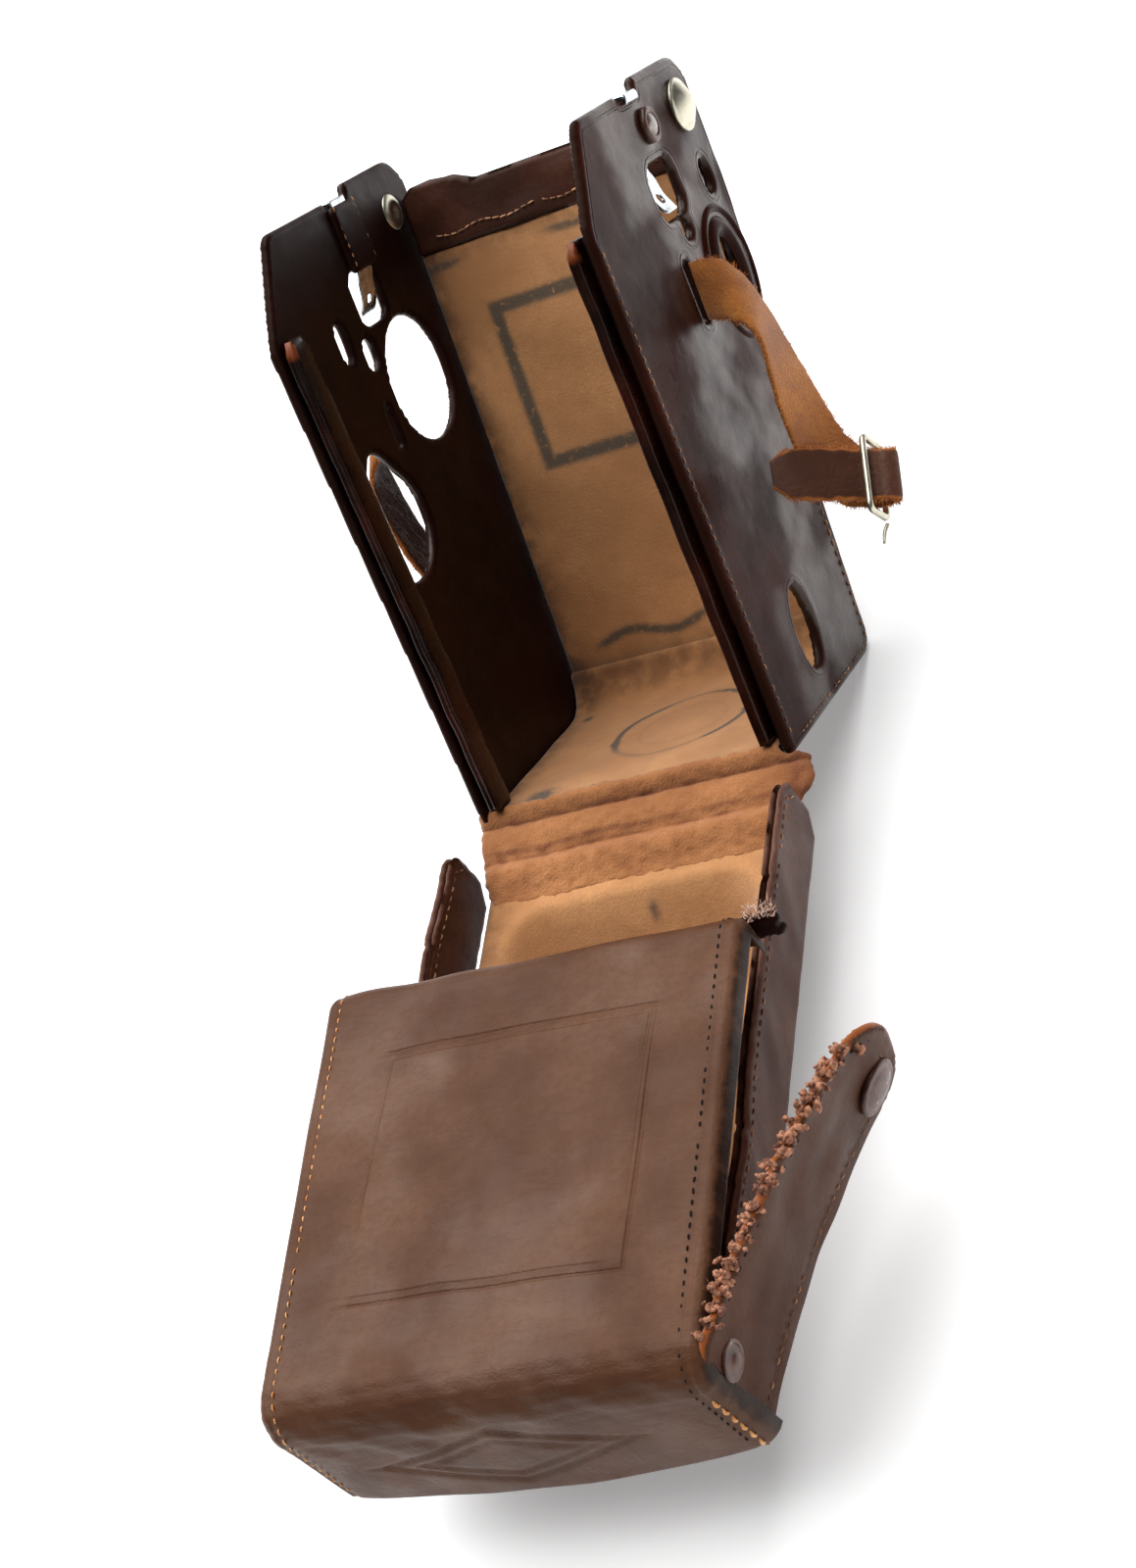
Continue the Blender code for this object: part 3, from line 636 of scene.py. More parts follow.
def route_frames(embed: Embed, route: Array, pitch: float, height: float) -> tuple[Array, Array]:
    """Evenly spaced places along a route on a sheet.

    Args:
        embed: The sheet's placing.
        route: (k, 2) corners of the route in u and v.
        pitch: Distance from place to place.
        height: Height over the sheet's middle; its sign says which side.

    Returns:
        (n, 3) points and (n, 3, 3) frames, whose rows are along, across and away from the sheet.
    """
    sides = np.linalg.norm(np.diff(route, axis=0), axis=1)
    reached = np.concatenate([[0], np.cumsum(sides)])
    middle = np.arange(pitch / 2, reached[-1], pitch)

    def placed(travelled: Array, high: float) -> Array:
        """Points at lengths along the route."""
        u, v = (np.interp(travelled, reached, route[:, i]) for i in (0, 1))
        return embed(u, v, np.full(len(travelled), high))

    points = placed(middle, height)
    along = unit(placed(middle + pitch / 4, height) - placed(middle - pitch / 4, height))
    away = unit(placed(middle, height + math.copysign(0.0005, height)) - points)
    across = unit(np.cross(away, along))
    return points, np.stack([along, across, np.cross(along, across)], 1)


@dataclass(frozen=True)
class Seam:
    """A row of stitches: how far apart, how long and thick they are, and how many are lost."""

    pitch: float = 0.0024
    length: float = 0.0018
    thickness: float = 0.00045
    lost: float = 0.0
    seed: int = 1

    def sewn(self, embed: Embed, route: Array, height: float) -> Surface:
        """The stitches of a seam, with seeded slants, lengths and losses.

        Args:
            embed: The sheet's placing.
            route: (k, 2) corners of the seam in u and v.
            height: Height over the sheet's middle.

        Returns:
            All stitches as one surface.
        """
        points, frames = route_frames(embed, route, self.pitch, height)
        random = np.random.default_rng(self.seed)
        slant = random.normal(0, 0.09, len(points))
        cos, sin = np.cos(slant)[:, None], np.sin(slant)[:, None]
        along = frames[:, 0] * cos + frames[:, 1] * sin
        across = frames[:, 1] * cos - frames[:, 0] * sin
        frames = np.stack([along, across, frames[:, 2]], 1)
        kept = random.random(len(points)) >= self.lost
        length = self.length * random.uniform(0.85, 1.1, len(points))
        sizes = columns([length, np.full((len(points), 2), self.thickness)])
        return scattered(thread_shape(), points[kept], frames[kept], sizes[kept])


def holes_along(embed: Embed, route: Array, pitch: float, height: float, radius: float) -> Surface:
    """Needle holes along a route: flat beads sunk in the sheet's face.

    Args:
        embed: The sheet's placing.
        route: (k, 2) corners of the row in u and v.
        pitch: Distance from hole to hole.
        height: Height over the sheet's middle.
        radius: A hole's radius across the row.

    Returns:
        All holes as one surface.
    """
    points, frames = route_frames(embed, route, pitch, height)
    sizes = np.full((len(points), 3), radius * 2) * np.array([1.3, 1.0, 0.35])
    return scattered(lump_shape(), points, frames, sizes)


# ---- finishes


class Recipe:
    """Builds one Principled material node by node, on object coordinates and the piece's own layers."""

    def __init__(self, name: str) -> None:
        """Start a material with a Principled shader."""
        self.material = bpy.data.materials.new(name)
        self.material.use_nodes = True
        self.tree = self.material.node_tree
        self.shader = self.tree.nodes["Principled BSDF"]
        self.place = self.tree.nodes.new("ShaderNodeTexCoord").outputs["Object"]

    def feed(self, socket: bpy.types.NodeSocket, value: object) -> None:
        """Link a socket to another, or set its value.

        Args:
            socket: The socket that is fed.
            value: Another socket, a colour or a number.
        """
        if isinstance(value, bpy.types.NodeSocket):
            self.tree.links.new(value, socket)
        elif isinstance(value, tuple) and len(value) == 3 and socket.type == "RGBA":
            socket.default_value = (*value, 1.0)
        else:
            socket.default_value = value

    def noise(self, size: float, detail: float = 4, stretch: tuple = (1, 1, 1), rough: float = 0.55) -> object:
        """Noise whose blotches are about size metres across, stretched by dividing each axis.

        Args:
            size: The blotches' size.
            detail: How many finer layers it has.
            stretch: How much shorter the blotches are along each axis.
            rough: How strong the finer layers are.

        Returns:
            The socket of its value.
        """
        place = self.tree.nodes.new("ShaderNodeMapping")
        self.feed(place.inputs["Vector"], self.place)
        place.inputs["Scale"].default_value = stretch
        node = self.tree.nodes.new("ShaderNodeTexNoise")
        self.feed(node.inputs["Vector"], place.outputs["Vector"])
        node.inputs["Scale"].default_value = 1 / size
        node.inputs["Detail"].default_value = detail
        node.inputs["Roughness"].default_value = rough
        return node.outputs["Fac"]

    def cells(self, size: float, feature: str = "F1") -> object:
        """Distance within a pattern of cells about size metres across."""
        node = self.tree.nodes.new("ShaderNodeTexVoronoi")
        node.feature = feature
        self.feed(node.inputs["Vector"], self.place)
        node.inputs["Scale"].default_value = 1 / size
        return node.outputs["Distance"]

    def layer(self, name: str) -> object:
        """A number stored on the piece's points."""
        node = self.tree.nodes.new("ShaderNodeAttribute")
        node.attribute_name = name
        return node.outputs["Fac"]

    def ramp(self, value: object, low: float, high: float, first: float = 0.0, last: float = 1.0) -> object:
        """Map a value from low..high to first..last along a smooth step.

        Args:
            value: The value or its socket.
            low: Where the step starts.
            high: Where it ends.
            first: What comes out below low.
            last: What comes out above high.

        Returns:
            The socket of the result.
        """
        node = self.tree.nodes.new("ShaderNodeMapRange")
        node.interpolation_type = "SMOOTHSTEP"
        names = ("Value", "From Min", "From Max", "To Min", "To Max")
        for name, number in zip(names, (value, low, high, first, last)):
            self.feed(node.inputs[name], number)
        return node.outputs["Result"]

    def sum(self, kind: str, first: object, second: object = 0.0) -> object:
        """One step of arithmetic on two values."""
        node = self.tree.nodes.new("ShaderNodeMath")
        node.operation = kind
        self.feed(node.inputs[0], first)
        self.feed(node.inputs[1], second)
        return node.outputs["Value"]

    def mix(self, share: object, first: object, second: object) -> object:
        """Mix two colours by a share."""
        node = self.tree.nodes.new("ShaderNodeMix")
        node.data_type = "RGBA"
        self.feed(node.inputs[0], share)
        self.feed(node.inputs[6], first)
        self.feed(node.inputs[7], second)
        return node.outputs[2]

    def bump(self, height: object, depth: float, strength: float = 1.0, before: object = None) -> object:
        """Bend the normal by a height of some depth in metres.

        Args:
            height: The height from 0 to 1.
            depth: What a height of 1 stands for.
            strength: The share that is used.
            before: A normal that is bent already.

        Returns:
            The socket of the normal.
        """
        node = self.tree.nodes.new("ShaderNodeBump")
        node.inputs["Strength"].default_value = strength
        node.inputs["Distance"].default_value = depth
        self.feed(node.inputs["Height"], height)
        if before is not None:
            self.feed(node.inputs["Normal"], before)
        return node.outputs["Normal"]

    def shade(self, **sockets: object) -> bpy.types.Material:
        """Feed the shader's sockets, with underscores for spaces, and return the material."""
        for name, value in sockets.items():
            self.feed(self.shader.inputs[name.replace("_", " ").title().replace("Ior", "IOR")], value)
        return self.material


@dataclass(frozen=True)
class Hide:
    """Grained outer leather: two tones, worn cut edges, a pressed line beside the edge, and fine grain."""

    name: str
    dark: Colour
    light: Colour
    worn: Colour
    gloss: tuple[float, float] = (0.34, 0.52)
    wear: float = 0.0007
    grain: float = 0.0009
    grain_depth: float = 0.00007
    line: float = 0.0
    creases: float = 0.0
    polish: tuple[float, float] = (0.22, 0.3)

    def material(self) -> bpy.types.Material:
        """Blotches mix the tones, cells and noise make the grain, and the edge layer brings wear and line."""
        r = Recipe(self.name)
        blotch = r.noise(0.022, 5)
        fine = r.noise(0.0016, 3)
        edge = r.layer("edge")
        tone = r.mix(r.ramp(blotch, 0.32, 0.7), self.dark, self.light)
        tone = r.mix(r.ramp(fine, 0.42, 0.62, 0.0, 0.3), tone, self.dark)
        frayed = r.sum("ADD", edge, r.sum("MULTIPLY", r.noise(0.004, 4), -2.2 * self.wear))
        tone = r.mix(r.ramp(frayed, -self.wear, 0.0, 0.85, 0.0), tone, self.worn)
        cells = r.cells(self.grain)
        grain = r.bump(cells, self.grain_depth, 0.55)
        grain = r.bump(r.noise(0.00035, 2), self.grain_depth * 0.5, 0.5, grain)
        grain = r.bump(r.noise(0.011, 3), 0.001, 0.22, grain)
        if self.creases:
            folds = r.noise(0.009, 5, (1.0, 2.8, 1.0), 0.62)
            ridges = r.ramp(r.sum("ABSOLUTE", r.sum("SUBTRACT", folds, 0.5)), 0.0, 0.045)
            grain = r.bump(ridges, self.creases, 0.35, grain)
        if self.line:
            off = r.sum("ABSOLUTE", r.sum("SUBTRACT", edge, self.line))
            groove = r.ramp(off, 0.00012, 0.00048)
            tone = r.mix(r.ramp(groove, 0.0, 1.0, 0.55, 0.0), tone, self.dark)
            grain = r.bump(groove, 0.00035, 0.8, grain)
        rough = r.ramp(r.noise(0.008, 5), 0.25, 0.75, *self.gloss)
        patch = r.sum("MULTIPLY", r.ramp(r.noise(0.04, 3), 0.4, 0.62), r.ramp(r.layer("u"), 0.008, 0.03))
        shine = r.ramp(patch, 0.0, 1.0, *self.polish)
        return r.shade(base_color=tone, roughness=rough, normal=grain, specular_ior_level=shine,
                       specular_tint=(1.0, 0.88, 0.79))


@dataclass(frozen=True)
class Suede:
    """Napped flesh side: soft blotches, brushed nap, dirt and painted shade from a layer, and rubbed marks."""

    name: str
    dark: Colour
    light: Colour
    # The colour that dirt and painted shade darken the suede towards.
    dirt: Colour
    nap: float = 0.00016

    def material(self) -> bpy.types.Material:
        """Noise at three sizes mixes the tones, and a layer of dirt and painted shade, and the mark layer,
        darken it in broken patches.
        """
        r = Recipe(self.name)
        broad = r.noise(0.03, 4)
        middle = r.noise(0.0045, 5)
        fuzz = r.noise(0.0006, 4)
        tone = r.mix(r.ramp(broad, 0.3, 0.7), self.dark, self.light)
        tone = r.mix(r.ramp(middle, 0.45, 0.72, 0.0, 0.45), tone, self.dark)
        tone = r.mix(r.ramp(fuzz, 0.4, 0.62, 0.0, 0.35), tone, self.dark)
        broken = r.ramp(r.noise(0.0016, 5), 0.18, 0.48)
        stained = r.sum("MULTIPLY", r.layer("mark"), broken)
        # Dirt and painted shade: the piece's layer darkens the suede towards that colour in broken patches.
        soiled_and_shaded = r.sum("MULTIPLY", r.layer("dirt"), r.ramp(middle, 0.25, 0.6, 0.35, 1.0))
        tone = r.mix(r.ramp(soiled_and_shaded, 0.02, 1.0, 0.0, 0.85), tone, self.dirt)
        tone = r.mix(r.ramp(stained, 0.02, 0.9, 0.0, 0.9), tone, linear(66, 60, 50))
        bump = r.bump(fuzz, self.nap, 0.8)
        bump = r.bump(middle, 0.0004, 0.35, bump)
        return r.shade(base_color=tone, roughness=0.94, normal=bump, sheen_weight=0.25, sheen_roughness=0.5)


@dataclass(frozen=True)
class Metal:
    """Plate, steel or lacquer on metal, with scratches, tarnish and chips."""

    name: str
    clean: Colour
    tarnished: Colour
    metallic: float = 1.0
    gloss: tuple[float, float] = (0.18, 0.42)
    chips: float = 0.0

    def material(self) -> bpy.types.Material:
        """Noise spreads the tarnish, stretched noise scratches it, and chips bare the pale metal."""
        r = Recipe(self.name)
        spots = r.noise(0.003, 5)
        tone = r.mix(r.ramp(spots, 0.42, 0.66), self.clean, self.tarnished)
        rough = r.ramp(r.noise(0.0012, 4), 0.3, 0.7, *self.gloss)
        scratch = r.bump(r.noise(0.0009, 3, (1.0, 6.0, 1.0)), 0.00001, 0.25)
        metallic = self.metallic
        if self.chips:
            bare = r.ramp(r.noise(0.0032, 3), 0.66 - self.chips, 0.7 - self.chips)
            tone = r.mix(bare, tone, linear(196, 192, 184))
            metallic = r.ramp(bare, 0.0, 1.0, self.metallic, 0.8)
            scratch = r.bump(bare, 0.00006, 0.6, scratch)
        return r.shade(base_color=tone, roughness=rough, normal=scratch, metallic=metallic)


@dataclass(frozen=True)
class Fibre:
    """Thread, torn fibre and hair: a soft matt colour that changes from place to place."""

    name: str
    dark: Colour
    light: Colour
    size: float = 0.0012

    def material(self) -> bpy.types.Material:
        """Noise mixes the two tones and roughens the surface."""
        r = Recipe(self.name)
        tone = r.mix(r.ramp(r.noise(self.size, 4), 0.36, 0.64), self.dark, self.light)
        return r.shade(base_color=tone, roughness=0.9, normal=r.bump(r.noise(0.00025, 3), 0.00006, 0.7))


class Finishes:
    """Every finish of the case, made once."""

    def __init__(self) -> None:
        """Mix each finish's colours and make its material."""
        dark, light = linear(46, 22, 14), linear(72, 40, 28)
        cut = linear(34, 19, 14)
        self.wall = Hide("glossy_wall_hide", linear(34, 12, 7), linear(56, 24, 15), cut, (0.2, 0.4),
                         0.0004, 0.0011, 0.00002, 0.0021, polish=(0.03, 0.36)).material()
        self.inside = Hide("dark_inner_hide", linear(22, 5, 3), linear(36, 10, 6), cut, (0.34, 0.52),
                           0.0003, 0.0012, 0.00002, polish=(0.12, 0.12)).material()
        self.plain = Hide("grained_hide", dark, light, cut, (0.4, 0.56), 0.0006, 0.0009, 0.00005).material()
        self.hood = Hide("hood_hide", linear(72, 43, 27), linear(92, 60, 41), linear(24, 14, 12),
                         (0.42, 0.56), 0.0011, 0.0008, 0.00006, creases=0.0001, polish=(0.16, 0.3)).material()
        self.band = Hide("band_hide", linear(66, 38, 25), linear(86, 54, 39), linear(146, 80, 40),
                         (0.42, 0.56), 0.0006, 0.0009, 0.00005, polish=(0.1, 0.18)).material()
        self.flange = Hide("flange_hide", linear(58, 30, 21), linear(88, 54, 42), linear(104, 72, 60),
                           (0.3, 0.46), 0.001, 0.001, 0.00003, polish=(0.1, 0.18)).material()
        self.rail = Hide("dark_rail_hide", linear(16, 5, 3), linear(54, 20, 11), linear(118, 56, 26),
                         (0.2, 0.4), 0.0003, 0.0014, 0.00003).material()
        # The third colour of each suede is what its dirt and painted shade darken towards.
        self.lining = Suede("tan_lining", linear(164, 112, 66), linear(192, 138, 88),
                            linear(78, 44, 22)).material()
        self.hinge = Suede("hinge_suede", linear(140, 84, 40), linear(182, 122, 72),
                           linear(98, 44, 14), 0.0004).material()
        self.strap = Suede("orange_strap", linear(132, 70, 20), linear(196, 122, 42),
                           linear(70, 36, 18), 0.0006).material()
        self.strap_back = Hide("strap_grain", linear(62, 34, 22), linear(88, 54, 40), linear(170, 98, 42),
                               (0.4, 0.58), 0.0008, 0.001, 0.00007, creases=0.0003).material()
        self.steel = Metal("spring_steel_strip", linear(206, 212, 218), linear(176, 180, 182),
                           1.0, (0.16, 0.3)).material()
        self.nickel = Metal("aged_nickel", linear(200, 196, 178), linear(184, 178, 158),
                            1.0, (0.3, 0.4)).material()
        self.lacquer = Metal("brown_lacquer", linear(94, 60, 48), linear(66, 38, 30),
                             0.1, (0.28, 0.42), 0.02).material()
        self.dull = Metal("dull_rivet_steel", linear(150, 142, 138), linear(112, 100, 94),
                          0.7, (0.25, 0.4)).material()
        self.thread = Fibre("tan_thread", linear(92, 54, 36), linear(196, 142, 102), 0.005).material()
        self.bright_thread = Fibre("orange_thread", linear(206, 128, 66), linear(238, 184, 124)).material()
        self.hole = Fibre("needle_hole", linear(18, 9, 7), linear(30, 15, 11)).material()
        self.torn = Fibre("torn_fibre", linear(96, 54, 38), linear(184, 128, 98), 0.0014).material()
        self.fluff = Fibre("pale_fluff", linear(196, 152, 128), linear(236, 212, 194), 0.0014).material()
        self.fuzz = Fibre("orange_fuzz", linear(166, 88, 34), linear(212, 138, 70), 0.002).material()


def finished(
    name: str,
    surface: Surface,
    materials: Sequence[bpy.types.Material],
    body: Optional[Body],
    slot: Slot,
    replaces: Sequence[str] = (),
) -> bpy.types.Object:
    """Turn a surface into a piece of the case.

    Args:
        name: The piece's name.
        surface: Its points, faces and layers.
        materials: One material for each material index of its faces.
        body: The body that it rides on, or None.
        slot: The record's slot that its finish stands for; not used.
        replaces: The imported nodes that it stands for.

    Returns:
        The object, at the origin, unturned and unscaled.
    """
    mesh = bpy.data.meshes.new(name)
    faces = [row for face in surface.faces for row in face.tolist()]
    mesh.from_pydata(surface.points, [], faces)
    mesh.polygons.foreach_set("use_smooth", np.ones(len(faces), bool))
    mesh.polygons.foreach_set("material_index", np.concatenate(surface.slots).astype(np.int32))
    for layer in LAYERS:
        values = surface.layers.get(layer)
        if values is None:
            values = np.full(len(surface.points), FAR_FROM_EDGE if layer == "edge" else 0.0)
        mesh.attributes.new(layer, "FLOAT", "POINT").data.foreach_set("value", values.astype(np.float32))
    for material in materials:
        mesh.materials.append(material)
    mesh.validate()
    piece = bpy.data.objects.new(name, mesh)
    bpy.context.scene.collection.objects.link(piece)
    if body is not None:
        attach(piece, body.value)
    if replaces:
        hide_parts(*replaces)
    LOG.info("%s: %d points", name, len(surface.points))
    return piece


# ---- cradle


@dataclass
class Cradle:
    """The open box that holds the camera: two walls sewn to a bent strip, its linings, rails and metal.

    Its own axes are x, the depth back from the front crease, and the height up from the bottom.
    """

    paint: Finishes
    width: float = 0.0803
    wall: float = 0.0026
    wall_height: float = 0.146
    notch: float = 0.1428
    depth: float = 0.0653
    kink: float = 0.1215
    corner: float = 0.006
    tilt: float = math.radians(29.4)
    crease_y: float = 0.0771
    back_height: float = 0.135
    back_lean: float = 0.072
    strip: float = 0.0022
    lining: float = 0.0008
    lining_top: float = 0.1215
    lining_foot: float = 0.0085
    facing: float = 0.0014
    facing_foot: float = 0.1212
    gap: float = 0.0003
    lean: dict[int, float] = field(default_factory=lambda: {-1: 0.0075, 1: 0.003})
    forward: dict[int, float] = field(default_factory=lambda: {-1: 0.0015, 1: 0.0})

    @property
    def half(self) -> float:
        """Half the outer width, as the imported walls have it."""
        return (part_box("right_wall")[1].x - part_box("left_wall")[0].x) / 2

    @property
    def crease_z(self) -> float:
        """Height of the front crease when the round rear corner rests on the table."""
        reach = self.depth - self.corner
        return self.corner + reach * math.sin(self.tilt) - self.corner * math.cos(self.tilt)

    def place(self, x: Array, depth: Array, height: Array) -> Array:
        """Points from the cradle's own axes: depth and height turned back by the tilt.

        Args:
            x: Places across the case.
            depth: Places back from the front crease.
            height: Places up from the bottom.

        Returns:
            (n, 3) points in the frame.
        """
        cos, sin = math.cos(self.tilt), math.sin(self.tilt)
        y = self.crease_y + depth * cos + height * sin
        z = self.crease_z - depth * sin + height * cos
        return columns([np.broadcast_to(x, np.shape(y)), y, z])

    def spot(self, x: float, depth: float, height: float) -> Array:
        """One point from the cradle's own axes."""
        return self.place(np.array([x]), np.array([depth]), np.array([height]))[0]

    def back_line(self, top: float, foot: float) -> list[tuple[float, float]]:
        """The back's outer face at two heights, as depth and height: it leans back evenly."""
        return [(self.depth + self.back_lean * height, height) for height in (top, foot)]

    def wall_outline(self, side: int) -> Array:
        """Outline of a side wall.

        Args:
            side: -1 for the left wall and 1 for the right one.

        Returns:
            (n, 2) corners in depth and height.
        """
        r, lean, forward = self.corner, self.lean[side], self.forward[side]
        top, front_top = self.wall_height, self.wall_height - 0.0021
        rear = smooth_rows(np.array([
            (0.0657, 0.015), (0.0694, 0.06), (0.0714, 0.074), (0.0752, 0.086),
            (0.0782, 0.105), (0.079, 0.12), (0.0785, 0.134),
        ]), 5)
        return np.vstack([
            [(0.0012 - forward, 0.0)],
            arc(self.depth - r, r, r, -90, 0, 8),
            rear,
            arc(0.0705, top - 0.0075, 0.0075, 0, 90, 8),
            [(0.0482, top)], arc(0.0462, self.notch + 0.001, 0.001, 0, -90, 3),
            arc(0.0368, self.notch + 0.001, 0.001, 270, 180, 3), [(0.0358, front_top)],
            arc(0.0165 - lean, front_top - 0.0045, 0.0045, 90, 158, 6),
            [(-lean + 0.0008, self.kink + 0.002), (-lean - forward / 2, self.kink - 0.0012)],
            [(-forward, 0.0012)],
        ])

    def wall_holes(self, side: int) -> list[Array]:
        """The holes cut in a wall: spring slot, lobe, screw hole, strap slit and the holes for the knobs.

        Args:
            side: -1 for the left wall and 1 for the right one.

        Returns:
            The holes' outlines in depth and height.
        """
        if side > 0:
            return [
                rounded_box((0.0374, 0.053), (0.114, 0.1272), 0.0045),
                oval(0.0482, 0.1108, 0.0028, 0.0026, 16),
                oval(0.0692, 0.118, 0.0026, 0.004, 16),
                oval(0.0655, 0.097, 0.0036, 0.008, 24),
                rounded_box((0.0383, 0.041), (0.0905, 0.105), 0.001),
                oval(0.0305, 0.019, 0.0058, 0.01, 28),
            ]
        angles = np.linspace(0, 2 * np.pi, 64, endpoint=False)
        reach = 0.0132 + 0.0052 * bell(angles - math.radians(94), math.radians(24))
        keyed = columns([0.0145 + reach * np.cos(angles), 0.071 + reach * np.sin(angles)])
        return [
            rounded_box((0.0322, 0.0462), (0.114, 0.1272), 0.0045),
            oval(0.0305, 0.1085, 0.003, 0.004, 20),
            oval(0.0205, 0.114, 0.0026, 0.005, 20),
            oval(0.049, 0.0975, 0.015, 0.0152, 48),
            rounded_box((0.027, 0.0294), (0.086, 0.0965), 0.001),
            keyed,
        ]

    def wall_embed(self, side: int) -> Embed:
        """Place a wall: the height over its middle points outward, and it bows out a little."""
        middle = self.half - self.wall / 2

        def embed(u: Array, v: Array, w: Array) -> Array:
            """Depth u, height v and thickness w, with a bow that is a product of two sines."""
            upward = np.sin(np.clip(v / 0.09, 0, 1.6) * math.pi)
            bow = 0.0005 * upward * np.sin(np.clip(u / 0.07, 0, 1) * math.pi)
            return self.place(side * (middle + w + bow), u, v)

        return embed

    def build_wall(self, side: int) -> None:
        """One wall with its raised ridge, its front seam and its rear seam."""
        word = "left" if side < 0 else "right"
        lean, forward = self.lean[side], self.forward[side]

        def ridge(u: Array, v: Array, distance: Array) -> Array:
            """A low swelling between the notch and the slot, and a soft roll along the front edge."""
            bar = bell(u - 0.0415, 0.0058) * step_up(v, 0.1285, 0.131)
            lower = step_up(-v, -self.kink, -self.kink + 0.004)
            return 0.0005 * bar + 0.00025 * bell(distance + 0.0016, 0.001) * lower

        cut = Cut(
            self.wall_outline(side),
            lines(-0.01, 0.08, 0.0008),
            lines(0.0, self.wall_height, 0.0008),
            self.wall - 0.0001,
            self.wall_holes(side),
            0.0008,
            relief=ridge,
        )
        embed = self.wall_embed(side)
        sheet = cut.surface(embed)
        finished(word + "_wall_leather", sheet, [self.paint.wall, self.paint.inside], Body.CRADLE, Slot.HIDE,
                 [word + "_wall"])
        front = np.array([(0.0022 - forward, 0.004), (0.0022 - lean - forward / 2, self.kink - 0.003)])
        rear = np.vstack([
            [(0.005, 0.0022)],
            arc(self.depth - self.corner, self.corner, self.corner - 0.0022, -90, 0, 6),
            [(0.0646, 0.06), (0.0676, 0.072)],
        ])
        high = self.wall / 2 + 0.00015
        seam = Seam(0.0026, 0.0017, 0.00032, 0.06, 3 + side)
        rows = [seam.sewn(embed, front, high), seam.sewn(embed, rear, high)]
        if side < 0:
            inner = np.array([(0.0058 - forward, 0.005), (0.0066 - lean, self.kink - 0.004)])
            rows.append(Seam(0.0026, 0.0018, 0.0003, 0.25, 9).sewn(embed, inner, -high))
        finished(word + "_wall_stitches", merged(rows), [self.paint.thread], Body.CRADLE, Slot.HIDE)

    def strip_bend(self) -> Bend:
        """The back and bottom's outer line in depth and height, from the top of the back to the crease."""
        r = self.corner
        return Bend(np.vstack([
            self.back_line(self.back_height, r * 2),
            arc(self.depth - r, r, r, 0, -90, 14),
            [(0.0012, 0.0)],
        ]))

    def bent_embed(self, bend: Bend, shift: float) -> Embed:
        """Place a sheet along a bend: u is x, v the length along it, and w goes to the right of travel.

        Args:
            bend: The line in depth and height.
            shift: How far right of it the sheet's middle lies.

        Returns:
            The sheet's placing.
        """

        def embed(u: Array, v: Array, w: Array) -> Array:
            """Points of the bend moved along its normal by the shift and w."""
            point, normal = bend.at(v)
            moved = point - normal * (shift + w)[:, None]
            return self.place(u, moved[:, 0], moved[:, 1])

        return embed

    def build_back(self) -> None:
        """The outer strip, whose top edge has a raised tab at its left end."""
        bend = self.strip_bend()
        half = self.half - self.wall - self.gap
        outline = np.array([
            (-half, 0.0), (-half + 0.002, -0.0022), (-half + 0.014, -0.0024), (-half + 0.02, 0.0002),
            (half, 0.0), (half, bend.length), (-half, bend.length),
        ])
        cut = Cut(outline, lines(-half, half, 0.0012), lines(-0.003, bend.length, 0.001), self.strip)
        embed = self.bent_embed(bend, self.strip / 2)
        sheet = cut.surface(lambda u, v, w: embed(u, v, -w))
        finished("back_strip_leather", sheet, [self.paint.plain, self.paint.inside], Body.CRADLE, Slot.HIDE,
                 ["back_and_bottom"])
        sides = [Seam(0.0026, 0.0017, 0.0003, 0.05, 21 + k).sewn(
            lambda u, v, w: embed(u, v, -w),
            np.array([(x, 0.004), (x, bend.length - 0.004)]), self.strip / 2 + 0.0001,
        ) for k, x in enumerate((-half + 0.002, half - 0.002))]
        finished("back_strip_stitches", merged(sides), [self.paint.thread], Body.CRADLE, Slot.HIDE)

    def build_linings(self) -> None:
        """The suede of the back and the floor, with the prints that the camera left on them and painted shade.
        """
        half = self.half - self.wall - self.gap
        skin_depth = self.strip + self.gap
        back = Bend(np.array(self.back_line(self.lining_top, self.lining_foot)))
        outline = rounded_box((-half, half), (0.0, back.length), 0.0012)
        cut = Cut(outline, lines(-half, half, 0.0009), lines(0, back.length, 0.0009), self.lining,
                  relief=lambda u, v, d: ripple(0.00022, 0.03, 5)(u, v, d) - 0.0002,
                  edge_round=0.0003, split=False)
        sheet = cut.surface(self.bent_embed(back, skin_depth + self.lining / 2))
        u, v = sheet.layers["u"], sheet.layers["v"]
        height = self.lining_top - v
        frame_box = np.maximum(np.abs(u) - 0.0233, np.abs(height - 0.0843) - 0.0198)
        stroke = 1.2 * bell(frame_box, 0.0017)
        smear = 0.9 * bell(height - 0.018 - 0.0012 * np.sin(u * 260), 0.0014)
        smear = smear * step_up(-np.abs(u + 0.012), -0.02, -0.012)
        top = 0.85 * bell(height - 0.1175, 0.0012) * step_up(waves(columns([u, v]), 0.02, 8), -0.5, 0.4)
        sheet.layers["mark"] = np.clip(stroke + smear + top, 0, 1)
        # Painted shade: darker along the left wall, at the foot and at the top of the back.
        left_edge = step_up(-u, half - 0.0085, half + 0.002)
        low_edge = step_up(-height, -0.024, -0.006)
        sheet.layers["dirt"] = np.clip(0.8 * left_edge + 0.5 * low_edge + 0.5 * step_up(-v, -0.008, 0.0), 0, 1)
        finished("back_suede", sheet, [self.paint.lining], Body.CRADLE, Slot.LINING, ["back_lining"])

